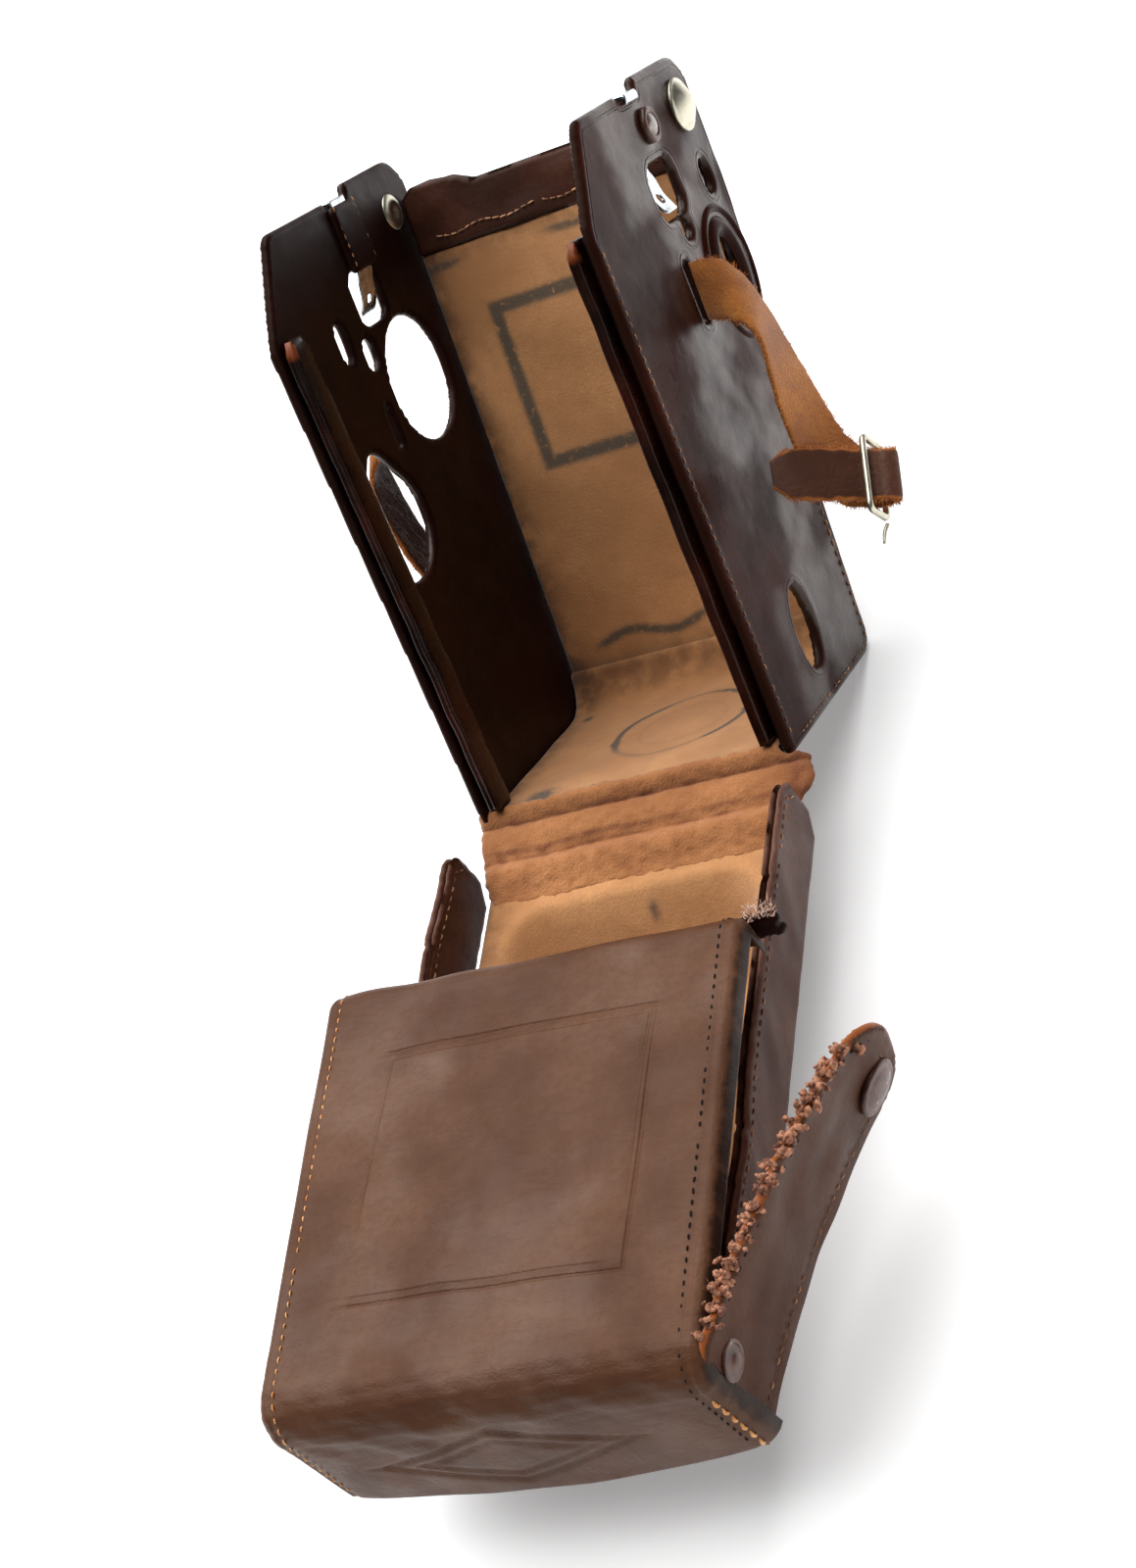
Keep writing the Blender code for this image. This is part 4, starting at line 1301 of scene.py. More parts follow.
        floor = Bend(smooth_rows(np.array([
            (0.0622, 0.013), (0.0608, 0.008), (0.057, 0.004),
            (0.05, skin_depth + 0.0002), (0.03, skin_depth), (-0.0004, skin_depth),
        ]), 5))
        outline = rounded_box((-half, half), (0.0, floor.length), 0.001)
        cut = Cut(outline, lines(-half, half, 0.0008), lines(0, floor.length, 0.0008), self.lining,
                  relief=ripple(0.00018, 0.022, 6), edge_round=0.0003, split=False)
        sheet = cut.surface(self.bent_embed(floor, self.lining / 2))
        u, v = sheet.layers["u"], sheet.layers["v"]
        depth = floor.length - v
        ring = np.hypot(u - 0.002, depth - 0.032)
        broken = 0.45 + 0.55 * step_up(waves(columns([u, v]), 0.025, 4), -0.3, 0.5)
        circle = 1.2 * bell(ring - 0.0172, 0.0009) * broken
        circle = circle + 0.3 * bell(ring - 0.0112, 0.0008)
        dots = [
            (-0.015, 0.028, 0.0012), (0.0186, 0.032, 0.0012),
            (-0.032, 0.052, 0.0016), (-0.025, 0.003, 0.0042),
        ]
        spots = sum(bell(np.hypot(u - x, depth - y), size) for x, y, size in dots)
        sheet.layers["mark"] = np.clip(0.95 * circle + spots, 0, 1)
        # Painted shade: darker along the left wall, at the front edge and into the back corner.
        sheet.layers["dirt"] = np.clip(
            0.8 * step_up(-u, half - 0.01, half + 0.002) + 0.3 * step_up(-depth, -0.006, -0.001)
            + 0.6 * step_up(depth, 0.052, 0.064), 0, 1)
        finished("floor_suede", sheet, [self.paint.lining], Body.CRADLE, Slot.LINING, ["floor_lining"])

    def build_facing(self) -> None:
        """The smooth leather along the top of the back's inside, with its loose seam."""
        half = self.half - self.wall - self.gap
        bend = Bend(np.array(self.back_line(self.back_height, self.facing_foot)))
        outline = np.array([
            (-half, -0.0004), (-half + 0.003, -0.0026), (-half + 0.009, -0.003), (-half + 0.016, -0.002),
            (-half + 0.02, 0.0), (half, 0.0), (half, bend.length), (-half, bend.length),
        ])
        cut = Cut(outline, lines(-half, half, 0.0009), lines(-0.004, bend.length, 0.0007), self.facing,
                  relief=lambda u, v, d: ripple(0.0003, 0.02, 12)(u, v * 2, d), edge_round=0.0006)
        embed = self.bent_embed(bend, self.strip + self.gap + self.facing / 2)
        finished("back_top_leather", cut.surface(embed), [self.paint.plain, self.paint.plain], Body.CRADLE,
                 Slot.HIDE, ["back_top_facing"])
        u = np.linspace(-half + 0.006, half - 0.002, 60)
        row = columns([u, bend.length - 0.0034 + 0.0005 * np.sin(u * 420)])
        threads = Seam(0.002, 0.0019, 0.0005, 0.08, 5).sewn(embed, row, self.facing / 2 + 0.0003)
        finished("back_top_stitches", threads, [self.paint.thread], Body.CRADLE, Slot.HIDE)

    def build_rail(self, side: int) -> None:
        """The stiff rail inside a front edge: a channelled section carried up the wall's lean.

        The section's corners are rounded by carrying a smooth curve through them, and the top end is worn.
        """
        word = "left" if side < 0 else "right"
        inner = self.half - self.wall
        corners = np.array([
            (0.0004, 0.0083), (0.0004, 0.0042), (0.0014, 0.0036), (0.0016, -0.0008), (0.0029, -0.0012),
            (0.0041, -0.0008), (0.0042, 0.0048), (0.0027, 0.0083),
        ])
        ring = smooth_rows(np.vstack([corners, corners[:1]]), 5)[:-1]
        height = np.linspace(0.0042, 0.1218, 90)
        lean, forward = self.lean[side], self.forward[side]
        shift = -forward - (lean - forward) * height / self.kink
        taper = 1 - 0.35 * step_up(height, 0.1185, 0.1222)
        middle = ring.mean(0)
        x = inner - (middle[0] + (ring[None, :, 0] - middle[0]) * taper[:, None])
        depth = middle[1] + (ring[None, :, 1] - middle[1]) * taper[:, None] + shift[:, None]
        wobble = 0.00012 * waves(columns([height]), 0.012, 3 + side)
        x = x + wobble[:, None]
        heights = np.broadcast_to(height[:, None], x.shape)
        points = self.place((side * x).ravel(), depth.ravel(), heights.ravel()).reshape(*x.shape, 3)
        surface = skin(points)
        rise = np.append(heights.ravel(), [height[0], height[-1]])
        front = np.append((depth - shift[:, None]).ravel(), [0.003, 0.003])
        worn_top = step_up(rise, 0.11, 0.121)
        surface.layers["edge"] = np.clip(0.0012 - 0.0012 * worn_top + 0.0008 * (front > 0.001), 0, 0.01)
        finished(word + "_rail_leather", surface, [self.paint.rail], Body.CRADLE, Slot.HIDE,
                 [word + "_guide_rail"])

    def build_rings(self) -> None:
        """Two raised rings round the knob slit: a half-round section carried round an oval."""
        angles = np.linspace(0, 2 * np.pi, 72, endpoint=False)
        around = np.linspace(0, 2 * np.pi, 14, endpoint=False)
        for name, half_depth, half_height, width, rise in (
            ("knob_ring_outer", 0.0125, 0.0152, 0.0024, 0.001),
            ("knob_ring_inner", 0.0074, 0.011, 0.0054, 0.0014),
        ):
            across = width / 2 * np.cos(around)
            high = rise * np.sin(around) ** 3 * (np.sin(around) > 0) - 0.0003
            depth = 0.064 + (half_depth + across[None]) * np.cos(angles)[:, None]
            height = 0.096 + (half_height + across[None]) * np.sin(angles)[:, None]
            x = np.broadcast_to(self.half + high[None], depth.shape)
            points = self.place(x.ravel(), depth.ravel(), height.ravel()).reshape(*depth.shape, 3)
            surface = skin(points, looped=True)
            finished(name + "_leather", surface, [self.paint.wall], Body.CRADLE, Slot.HIDE, [name])

    def build_metal(self) -> None:
        """Springs over the notches, their rivets, and the snap studs with their washers."""
        places = {
            "left": (-1, (0.043, 0.135), (0.066, 0.1345)),
            "right": (1, (0.0462, 0.135), (0.0682, 0.135)),
        }
        for word, (side, rivet, stud) in places.items():
            self.build_spring(word, side)
            face = side * (self.half + 0.0001)
            inside = side * (self.half - self.wall)
            for end, x, out in (("head", face + side * 0.0006, side), ("back", inside, -side)):
                origin = self.spot(x, *rivet)
                ring = np.array([
                    (0.0024, 0.0003), (0.0028, 0.0007), (0.0034, 0.0009), (0.004, 0.0006),
                    (0.0041, 0.0), (0.0041, -0.0008), (0.0024, -0.0008),
                ])
                dome = np.vstack([arc(0, -0.003, 0.0043, 88, 52, 8), [(0.0027, -0.0006)]])
                finished(word + "_rivet_" + end, skin(revolved(ring, origin, (out, 0, 0)), True),
                         [self.paint.lacquer], Body.CRADLE, Slot.LACQUER,
                         [word + "_lug_rivet"] if end == "head" else [])
                finished(word + "_rivet_dome_" + end, turned(dome, origin, (out, 0, 0), 36),
                         [self.paint.dull], Body.CRADLE, Slot.LACQUER)
            origin = self.spot(face, *stud)
            slope = np.linspace(0.02, 1, 12)
            button = np.vstack([
                columns([0.0057 * slope, 0.0008 + 0.0025 * (1 - slope**1.7)]),
                [(0.0061, 0.0007), (0.0062, 0.0004), (0.0061, 0.0), (0.006, -0.0006)],
            ])
            finished(word + "_stud_button", turned(button, origin, (side, 0, 0), 44), [self.paint.nickel],
                     Body.CRADLE, Slot.NICKEL, [word + "_snap_stud"])
            eyelet = np.array([
                (0.001, 0.0001), (0.0016, 0.0007), (0.0026, 0.0009), (0.004, 0.0005),
                (0.0044, 0.0001), (0.0044, -0.0003),
            ])
            finished(word + "_stud_eyelet", turned(eyelet, self.spot(inside, *stud), (-side, 0, 0), 40),
                     [self.paint.nickel], Body.CRADLE, Slot.NICKEL)

    def build_spring(self, word: str, side: int) -> None:
        """A steel strip bent over the notch, down the inside, and out through the slot as a tongue.

        Args:
            word: The side's name, left or right.
            side: -1 for the left wall and 1 for the right one.
        """
        inner = self.half - self.wall - 0.0006
        outer = self.half + 0.0006
        top = self.notch + 0.0006
        corners = np.array([
            (outer, top - 0.002), (outer, top - 0.0004), (outer - 0.0006, top), (inner + 0.0006, top),
            (inner, top - 0.0006), (inner, 0.13), (inner, 0.1262), (inner + 0.0008, 0.1238),
            (inner + 0.0016, 0.12), (inner + 0.003, 0.1172), (inner + 0.004, 0.1162),
        ])
        bend = Bend(smooth_rows(corners, 6))
        middle = (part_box(word + "_lug_spring")[0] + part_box(word + "_lug_spring")[1]) / 2
        depth = (middle.y - self.crease_y) * math.cos(self.tilt)
        depth = depth - (middle.z - self.crease_z) * math.sin(self.tilt)
        length, wide = bend.length, 0.0038
        outline = np.vstack([
            [(-wide, 0.0), (wide, 0.0)], [(wide, length - 0.005)],
            arc(0.0022, length - 0.0016, 0.0016, 0, 90, 5),
            arc(-0.0022, length - 0.0016, 0.0016, 90, 180, 5),
            [(-wide, length - 0.005)],
        ])
        hole = oval(0.0, length - 0.0042, 0.0011, 0.0011, 16)
        cut = Cut(outline, lines(-wide, wide, 0.0004), lines(0, length, 0.0005), 0.0006, [hole], 0.0002)

        def embed(u: Array, v: Array, w: Array) -> Array:
            """Depth u about the spring's middle; v along the bend; w across the strip."""
            point, normal = bend.at(v)
            moved = point + normal * w[:, None]
            return self.place(side * moved[:, 0], depth + u, moved[:, 1])

        near, far, foot = depth - 0.0062, depth + 0.0062, 0.1266
        pad = Cut(rounded_box((near, far), (foot, self.notch - 0.0004), 0.0015), lines(near, far, 0.0007),
                  lines(foot, self.notch, 0.0007), 0.0024, edge_round=0.001)
        wall = self.wall_embed(side)
        finished(word + "_spring_cover", pad.surface(lambda u, v, w: wall(u, v, w - self.wall / 2 - 0.0004)),
                 [self.paint.inside, self.paint.inside], Body.CRADLE, Slot.HIDE)
        rows = [Seam(0.0022, 0.0016, 0.0003, 0.3, 15 + k).sewn(
            wall, np.array([(depth + x, 0.1275), (depth + x, self.notch - 0.001)]),
            -self.wall / 2 - 0.0015,
        ) for k, x in enumerate((-0.0052, 0.0052))]
        finished(word + "_spring_cover_stitches", merged(rows), [self.paint.thread], Body.CRADLE, Slot.HIDE)
        finished(word + "_spring_strip", cut.surface(embed), [self.paint.steel, self.paint.steel], Body.CRADLE,
                 Slot.STEEL, [word + "_lug_spring"])

    def build(self) -> None:
        """Build the whole cradle."""
        for side in (-1, 1):
            self.build_wall(side)
            self.build_rail(side)
        self.build_back()
        self.build_linings()
        self.build_facing()
        self.build_rings()
        self.build_metal()


# ---- cover and hinge


@dataclass
class Cover:
    """The front cover on its back: a panel pressed out for the lenses, its suede, its flanges and its hinge."""

    paint: Finishes
    top: float = 0.0243
    half: float = 0.0392
    rear: float = 0.064
    front: float = -0.081
    leather: float = 0.0022
    suede: float = 0.0008
    gap: float = 0.0003
    rim: tuple[float, float, float] = (0.035, 0.056, -0.056)
    face: tuple[float, float] = (0.027, 0.04)
    flange_middle: float = -0.0012
    flange_outer: float = 0.0438
    flange_thick: float = 0.0015
    flange_height: float = 0.014
    flange_ends: tuple[float, float] = (-0.078, 0.0655)

    def bulge(self, x: Array, y: Array, top: float, inset: float) -> Array:
        """Height of a pressed sheet: it falls between the rim and the face by how near each of them is.

        Args:
            x: Places across the cover.
            y: Places along it.
            top: The height outside the rim.
            inset: How much smaller the rim and the face are than the panel's.

        Returns:
            (n,) heights.
        """
        places = columns([x, y])
        half, rear, front = self.rim
        rim = rounded_box((inset - half, half - inset), (front + inset, rear - inset), 0.012)
        wide, long = self.face[0] - inset, self.face[1] - inset
        face = rounded_box((-wide, wide), (-long, long), 0.009)
        inside_rim = np.maximum(-outline_distance(places, rim), 0)
        outside_face = np.maximum(outline_distance(places, face), 0)
        share = inside_rim / np.maximum(inside_rim + outside_face, 1e-9)
        share = 0.55 * share + 0.45 * share * share * (3 - 2 * share)
        floor = top - self.top + self.leather + self.suede + self.gap
        return top + (floor - top) * share

    def build_sheets(self) -> None:
        """The pressed panel and the suede that follows it."""
        panel = ("cover_leather", "cover_panel", self.paint.plain, Slot.HIDE)
        suede = ("cover_suede", "cover_lining", self.paint.lining, Slot.LINING)
        for (name, node, finish, slot), top, inset, thickness in (
            (panel, self.top - self.suede - self.gap, 0.0, self.leather),
            (suede, self.top, 0.0014, self.suede),
        ):
            outline = rounded_box((-self.half, self.half), (self.front, self.rear), 0.003)
            cut = Cut(outline, lines(-self.half, self.half, 0.0012), lines(self.front, self.rear, 0.0012),
                      thickness, edge_round=thickness * 0.4, relief=ripple(0.00012, 0.02, 31), split=False)
            sheet = cut.surface(lambda u, v, w, t=top, i=inset, h=thickness: columns(
                [u, v, self.bulge(u, v, t, i) - h / 2 + w]))
            u, v = sheet.layers["u"], sheet.layers["v"]
            sheet.layers["mark"] = 0.8 * bell(np.hypot(u - 0.003, v - 0.0506), 0.0016)
            # Painted shade in the recess: the whole suede a little darker, more towards the flanges and the
            # rear end.
            side_shade = 0.35 * step_up(np.abs(u), 0.028, 0.036)
            sheet.layers["dirt"] = 0.12 + side_shade + 0.2 * step_up(v, 0.056, 0.064)
            finished(name, sheet, [finish, finish], Body.COVER, slot, [node])

    def flange_outline(self) -> Array:
        """Outline of a flange in y and height, round at its rear top corner."""
        low, high = self.top - 0.0036, self.top + self.flange_height
        (front, rear), r = self.flange_ends, 0.005
        return np.vstack([
            [(front, low), (rear - r, low), (rear, low + 0.006)],
            arc(rear - r, high - r, r, 0, 90, 10), [(front, high)],
        ])

    def build_flanges(self) -> None:
        """Each flange is two layers, stitched together along the top and the rear."""
        outline = self.flange_outline()
        for side, word in ((-1, "left"), (1, "right")):
            outer = self.flange_middle + side * (self.flange_outer - self.flange_thick / 2)
            inner = outer - side * (self.flange_thick + self.gap)
            rows = []
            thick = self.flange_thick
            for layer, x, thickness in (("", outer, thick), ("_facing", inner, thick - self.gap)):
                cut = Cut(outline, lines(*self.flange_ends, 0.0009), lines(0.02, 0.039, 0.0008), thickness,
                          ragged=fray(0.00025, 0.004, 17), relief=ripple(0.0001, 0.012, 19),
                          edge_round=0.0006, split=False)

                def embed(u: Array, v: Array, w: Array, x: float = x, side: int = side) -> Array:
                    """Stand the layer up, with a slow warp along its length."""
                    warp = 0.0004 * waves(columns([u]), 0.05, 41 + side) * step_up(v, 0.024, 0.038)
                    return columns([x + side * (w + warp), u, v])

                finished(word + "_flange" + layer + "_leather", cut.surface(embed),
                         [self.paint.flange, self.paint.flange], Body.COVER, Slot.HIDE,
                         [word + "_flange" + layer])
                seam_z = self.top + 0.0118
                route = np.array([(-0.076, seam_z), (0.06, seam_z), (0.0632, self.top + 0.0085)])
                face = thickness / 2 + 0.0001
                seam = Seam(0.0026, 0.0017, 0.00034, 0.04, 51 + side)
                rows.append(seam.sewn(embed, route, face if not layer else -face))
            finished(word + "_flange_stitches", merged(rows), [self.paint.thread], Body.COVER, Slot.HIDE)

    def build_hinge(self) -> None:
        """The soft hinge: a suede strip with darker creases, from the cradle's floor into the cover."""
        rows = np.array([
            (0.0797, 0.0321), (0.0783, 0.0325), (0.0769, 0.0312), (0.0758, 0.0294), (0.0743, 0.0295),
            (0.0715, 0.029), (0.0692, 0.028), (0.0675, 0.0268), (0.0661, 0.0269), (0.0646, 0.0273),
            (0.0626, 0.0265), (0.06, 0.0248), (0.0572, 0.0236),
        ])
        bend = Bend(smooth_rows(rows, 5))
        length = bend.length
        low, high = -0.0408, 0.044
        outline = np.array([
            (low, 0.0), (0.0372, 0.0), (0.0376, 0.003), (high, 0.004), (high + 0.0012, 0.012),
            (0.0392, 0.017), (0.0375, length), (low + 0.002, length), (low, 0.012),
        ])
        cut = Cut(outline, lines(low, high + 0.0012, 0.0008), lines(0, length, 0.0005), 0.0012,
                  ragged=fray(0.0004, 0.0035, 77), relief=ripple(0.00016, 0.0035, 13, 24))

        def embed(u: Array, v: Array, w: Array) -> Array:
            """Follow the bend; the creases wander a little along x."""
            wander = 0.0005 * waves(columns([u]), 0.03, 6)
            point, normal = bend.at(v + wander)
            moved = point - normal * w[:, None]
            return columns([u, moved[:, 0], moved[:, 1]])

        sheet = cut.surface(embed)
        u, v = sheet.layers["u"], sheet.layers["v"]
        mix = waves(columns([u, v]), 0.01, 91)
        # The strip is darker along its three creases and at its right end.
        first = bell(v - 0.0052, 0.0011)
        second = bell(v - 0.0123, 0.0008) + bell(v - 0.0145, 0.0008)
        crease_darkening = (first + 0.9 * second) * (0.75 + 0.25 * mix)
        sheet.layers["dirt"] = np.clip(crease_darkening + 0.8 * step_up(u, 0.036, 0.041), 0, 1)
        sheet.layers["mark"] = 0.25 * bell(v - 0.0058, 0.0004)
        strip = finished("hinge_suede_strip", sheet, [self.paint.hinge, self.paint.plain], None, Slot.HIDE,
                         ["hinge_leather_rear", "hinge_leather_front"])
        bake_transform(strip)

    def build(self) -> None:
        """Build the whole cover."""
        self.build_sheets()
        self.build_flanges()
        self.build_hinge()


# ---- hood


@dataclass
class Hood:
    """The hood folded back over the cover: name face, top, rear roll, lining and its left band."""

    paint: Finishes
    base: float = 0.0243
    height: float = 0.0331
    thickness: float = 0.0022
    fold_y: float = -0.0822
    rear_y: float = 0.0165
    left: tuple[float, float] = (-0.0478, -0.0062)
    right: tuple[float, float] = (0.0498, -0.0022)
    roll: float = 0.0034
    square: tuple[float, float] = (-0.0615, -0.0025)
    press: float = 0.0022

    def bend(self) -> Bend:
        """Outer line in y and z, from the foot of the front face over the top to the end of the rear lip."""
        foot, top = self.base + 0.0003, self.base + self.height
        front_radius, rear_radius, lip = 0.0085, 0.0045, 0.0065
        front = self.fold_y - 0.002 - 0.0012
        return Bend(np.vstack([
            [(self.fold_y - 0.002, foot)],
            arc(front + front_radius, top - front_radius, front_radius, 174, 90, 20),
            arc(self.rear_y - rear_radius, top - rear_radius, rear_radius, 90, 0, 14),
            [(self.rear_y, top - rear_radius - lip)],
        ]))

    def travelled(self, y: float) -> float:
        """The length along the bend at which the top reaches a y."""
        line = self.bend()
        flat = np.abs(line.points[:, 1] - (self.base + self.height)) < 1e-6
        first = int(np.argmax(flat))
        return float(line.reached[first] + (y - line.points[first, 0]))

    def edges(self, v: Array) -> tuple[Array, Array]:
        """Left and right side of the sheet at a length along the bend."""
        share = np.clip(v / self.bend().length, 0, 1)
        return self.left[0] + self.left[1] * share, self.right[0] + self.right[1] * share

    def embed(self, shift: float) -> Embed:
        """Place a sheet under the hood's outer line; u runs from 0 at the left side to 1 at the right.

        Args:
            shift: How far under the line the sheet's middle lies.

        Returns:
            The sheet's placing.
        """
        line = self.bend()

        def placed(u: Array, v: Array, w: Array) -> Array:
            """The sides roll down along a quarter circle, and the front stands a little askew."""
            low, high = self.edges(v)
            x = low + (high - low) * u
            inward = np.clip(self.roll - np.minimum(x - low, high - x), 0, self.roll)
            drop = self.roll - np.sqrt(np.maximum(self.roll**2 - inward**2, 0))
            point, normal = line.at(v)
            swell = 0.0009 * np.sin(np.clip(u, 0, 1) * math.pi) * bell((v - 0.075) / 0.05, 1.0)
            moved = point + normal * (w - shift - 0.88 * drop + swell)[:, None]
            askew = -0.0022 * (0.5 - u) * step_up(-v, -0.06, 0.0)
            askew = askew - 0.0038 * np.sin(np.clip(u, 0, 1) * math.pi) ** 0.8 * step_up(-v, -0.032, 0.0)
            return columns([x, moved[:, 0] + askew, moved[:, 1]])

        return placed

    def frame_relief(self, u: Array, v: Array) -> Array:
        """Pressed lines: a double square on the top and a double lozenge on the front face.

        Each line is a bell of the distance from its shape, and the second line lies a little inside the first.

        Args:
            u: Places across the sheet, from 0 to 1.
            v: Places along its bend.

        Returns:
            (n,) heights, negative in a line.
        """
        low, high = self.edges(v)
        x = low + (high - low) * u
        front, rear = (self.travelled(y) for y in self.square)
        square = np.maximum(np.abs(x + 0.0015) - 0.0325, np.abs(v - (front + rear) / 2) - (rear - front) / 2)
        side = bell(np.minimum(x - low, high - x) - 0.0034, 0.0006)
        lozenge = (np.abs(x + 0.001) / 0.027 + np.abs(v - 0.014) / 0.009 - 1) * 0.0085
        squares = bell(square, 0.00035) + 0.8 * bell(square + 0.0017, 0.00035)
        lozenges = bell(lozenge, 0.0007) + 0.8 * bell(lozenge + 0.0028, 0.0007)
        return -0.0003 * side - 0.00035 * squares - 0.0006 * lozenges

    def build_shell(self) -> None:
        """The bent leather with its pressed lines and wrinkles."""
        length = self.bend().length
        width = self.right[0] - self.left[0]
        outline = np.array([(0.0, 0.0), (1.0, 0.0), (1.0, length), (0.0, length)])
        pressed = [(x - self.left[0] + 0.0022) / (width + 0.004) for x in (-0.034, -0.0318, 0.031, 0.0288)]
        us = lines(0.0, 1.0, 0.0075, [*pressed, 0.005, 0.995], 0.03)
        front, rear = self.square
        pressed = [self.travelled(y) for y in (front, front + self.press, rear - self.press, rear)]
        vs = lines(0.0, length, 0.0007, pressed, 0.0016)

        def relief(u: Array, v: Array, distance: Array) -> Array:
            """Pressed lines, shallow dents and fine wrinkles that run with the fold."""
            place = columns([u * width, v])
            fold = bell(v - 0.03, 0.012) * waves(columns([u * width * 0.5, v * 1.5]), 0.006, 23)
            return self.frame_relief(u, v) + 0.00028 * waves(place, 0.024, 11) + 0.00022 * fold

        cut = WholeSheet(outline, us, vs, self.thickness, edge_round=0.0009, relief=relief,
                         width=width, length=length)
        placed = self.embed(self.thickness / 2)
        finished("hood_leather", cut.surface(placed), [self.paint.hood, self.paint.inside], Body.HOOD,
                 Slot.HIDE, ["hood_shell"])
        face = self.thickness / 2 + 0.0001
        route = np.array([(0.045, 0.004), (0.047, length - 0.01)])
        finished("hood_left_stitches", Seam(0.0024, 0.0015, 0.00036, 0.1, 62).sewn(placed, route, face),
                 [self.paint.bright_thread], Body.HOOD, Slot.HIDE)
        route = np.array([(0.955, 0.004), (0.952, length - 0.01)])
        finished("hood_right_stitches", Seam(0.0024, 0.0013, 0.0004, 0.05, 61).sewn(placed, route, face),
                 [self.paint.hole], Body.HOOD, Slot.HIDE)
        corner = np.array([(0.975, 0.001), (0.975, 0.022)])
        bright = Seam(0.0036, 0.0027, 0.00075, 0.0, 71).sewn(placed, corner, face + 0.0001)
        finished("name_face_stitches", bright, [self.paint.bright_thread], Body.HOOD, Slot.HIDE)

    def build_lining(self) -> None:
        """The light suede under the top."""
        front, rear = self.travelled(-0.07), self.travelled(0.011)
        cut = Cut(rounded_box((0.06, 0.95), (front, rear), 0.004), lines(0.06, 0.95, 0.015),
                  lines(front, rear, 0.0015), 0.0008, edge_round=0.0003, split=False)
        finished("hood_suede", cut.surface(self.embed(self.thickness + 0.0008)), [self.paint.lining], Body.HOOD,
                 Slot.LINING, ["hood_lining"])

    def build_left_band(self) -> None:
        """The whole band on the left side, with its seam and its snap cap."""
        foot, top = self.base + 0.0003, self.base + self.height - self.thickness - 0.0003
        front, rear, x = self.fold_y + 0.001, self.rear_y - self.thickness - 0.001, -0.0489
        r, inset = 0.016, 0.0032
        outline = np.vstack([
            [(front, foot), (rear - r, foot)],
            arc(rear - r, foot + r, r, -90, 0, 12)[1:],
            [(rear, top - 0.0025), (rear - 0.0025, top), (front + 0.011, top), (front + 0.0006, top - 0.0095)],
        ])
        cut = Cut(outline, lines(front, rear, 0.001), lines(foot, top, 0.001), 0.0022,
                  relief=ripple(0.00014, 0.013, 29), edge_round=0.0007)

        def embed(u: Array, v: Array, w: Array) -> Array:
            """The band stands upright: u is y, v is z and w points to the left."""
            return columns([x - w, u, v])

        finished("left_band_leather", cut.surface(embed), [self.paint.hood, self.paint.inside], Body.HOOD,
                 Slot.HIDE, ["hood_left_band"])
        route = np.vstack([
            [(front + 0.004, foot + inset), (rear - r, foot + inset)],
            arc(rear - r, foot + r, 0.0128, -90, 0, 10)[1:], [(rear - inset, top - 0.004)],
        ])
        finished("left_band_stitches", Seam(0.0024, 0.0016, 0.0004, 0.03, 67).sewn(embed, route, 0.0012),
                 [self.paint.thread], Body.HOOD, Slot.HIDE)
        place = (-0.05, rear - 0.011, foot + 0.01)
        finished("left_cap_shell", turned(cap_profile(), place, (-1, 0, 0), 44), [self.paint.lacquer],
                 Body.HOOD, Slot.LACQUER, ["left_snap_cap"])

    def build_stub(self) -> None:
        """The torn piece of the seam at the rear right corner, with fluff where it was pulled apart."""
        low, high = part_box("torn_seam_stub")
        outline = rounded_box((low.x, high.x), (low.z, high.z), 0.0016)
        cut = Cut(outline, lines(low.x, high.x, 0.0005), lines(low.z, high.z, 0.0005), high.y - low.y,
                  ragged=fray(0.0005, 0.0025, 3), edge_round=0.0006)
        middle = (low.y + high.y) / 2
        finished("torn_stub_leather", cut.surface(lambda u, v, w: columns([u, middle + w, v])),
                 [self.paint.inside, self.paint.inside], Body.HOOD, Slot.HIDE, ["torn_seam_stub"])
        random = np.random.default_rng(83)
        count = 130
        along = random.uniform(0, 1, count)
        spots = columns([
            low.x + 0.006 + (high.x - low.x - 0.006) * along, middle + random.normal(0, 0.0008, count),
            high.z + 0.0002 + random.exponential(0.0007, count),
        ])
        finished("torn_stub_fluff", tufts(spots, np.array([0.3, 0.1, 1.0]), 0.0015, 0.00018, 84),
                 [self.paint.fluff], Body.HOOD, Slot.HIDE)

    def build(self) -> None:
        """Build the whole hood."""
        self.build_shell()
        self.build_lining()
        self.build_left_band()
        self.build_stub()


def cap_profile() -> Array:
    """Half the outline of a snap cap: a low dome with a rolled rim."""
    return np.vstack([
        [(0.0002, 0.002)], [(0.0014, 0.00198), (0.0028, 0.00185), (0.004, 0.0016), (0.005, 0.0012)],
        arc(0.0053, 0.0006, 0.0007, 80, -60, 6), [(0.0052, -0.0003)],
    ])


def tufts(spots: Array, away: Array, length: float, thickness: float, seed: int) -> Surface:
    """Fibres that stand on spots, each with its own slant and size.

    Args:
        spots: (n, 3) places.
        away: The direction in which they stand on the whole.
        length: Their mean length.
        thickness: Their mean thickness.
        seed: Picks the slants and sizes.

    Returns:
        All fibres as one surface.
    """
    random = np.random.default_rng(seed)
    count = len(spots)
    ahead = unit(unit(away)[None] + random.normal(0, 0.55, (count, 3)))
    across = unit(np.cross(ahead, random.normal(size=(count, 3))))
    frames = np.stack([across, np.cross(ahead, across), ahead], 1)
    long = length * random.uniform(0.4, 1.3, count)
    thick = thickness * random.uniform(0.6, 1.3, count)
    return scattered(hair_shape(), spots, frames, columns([thick * 2, thick, long]))


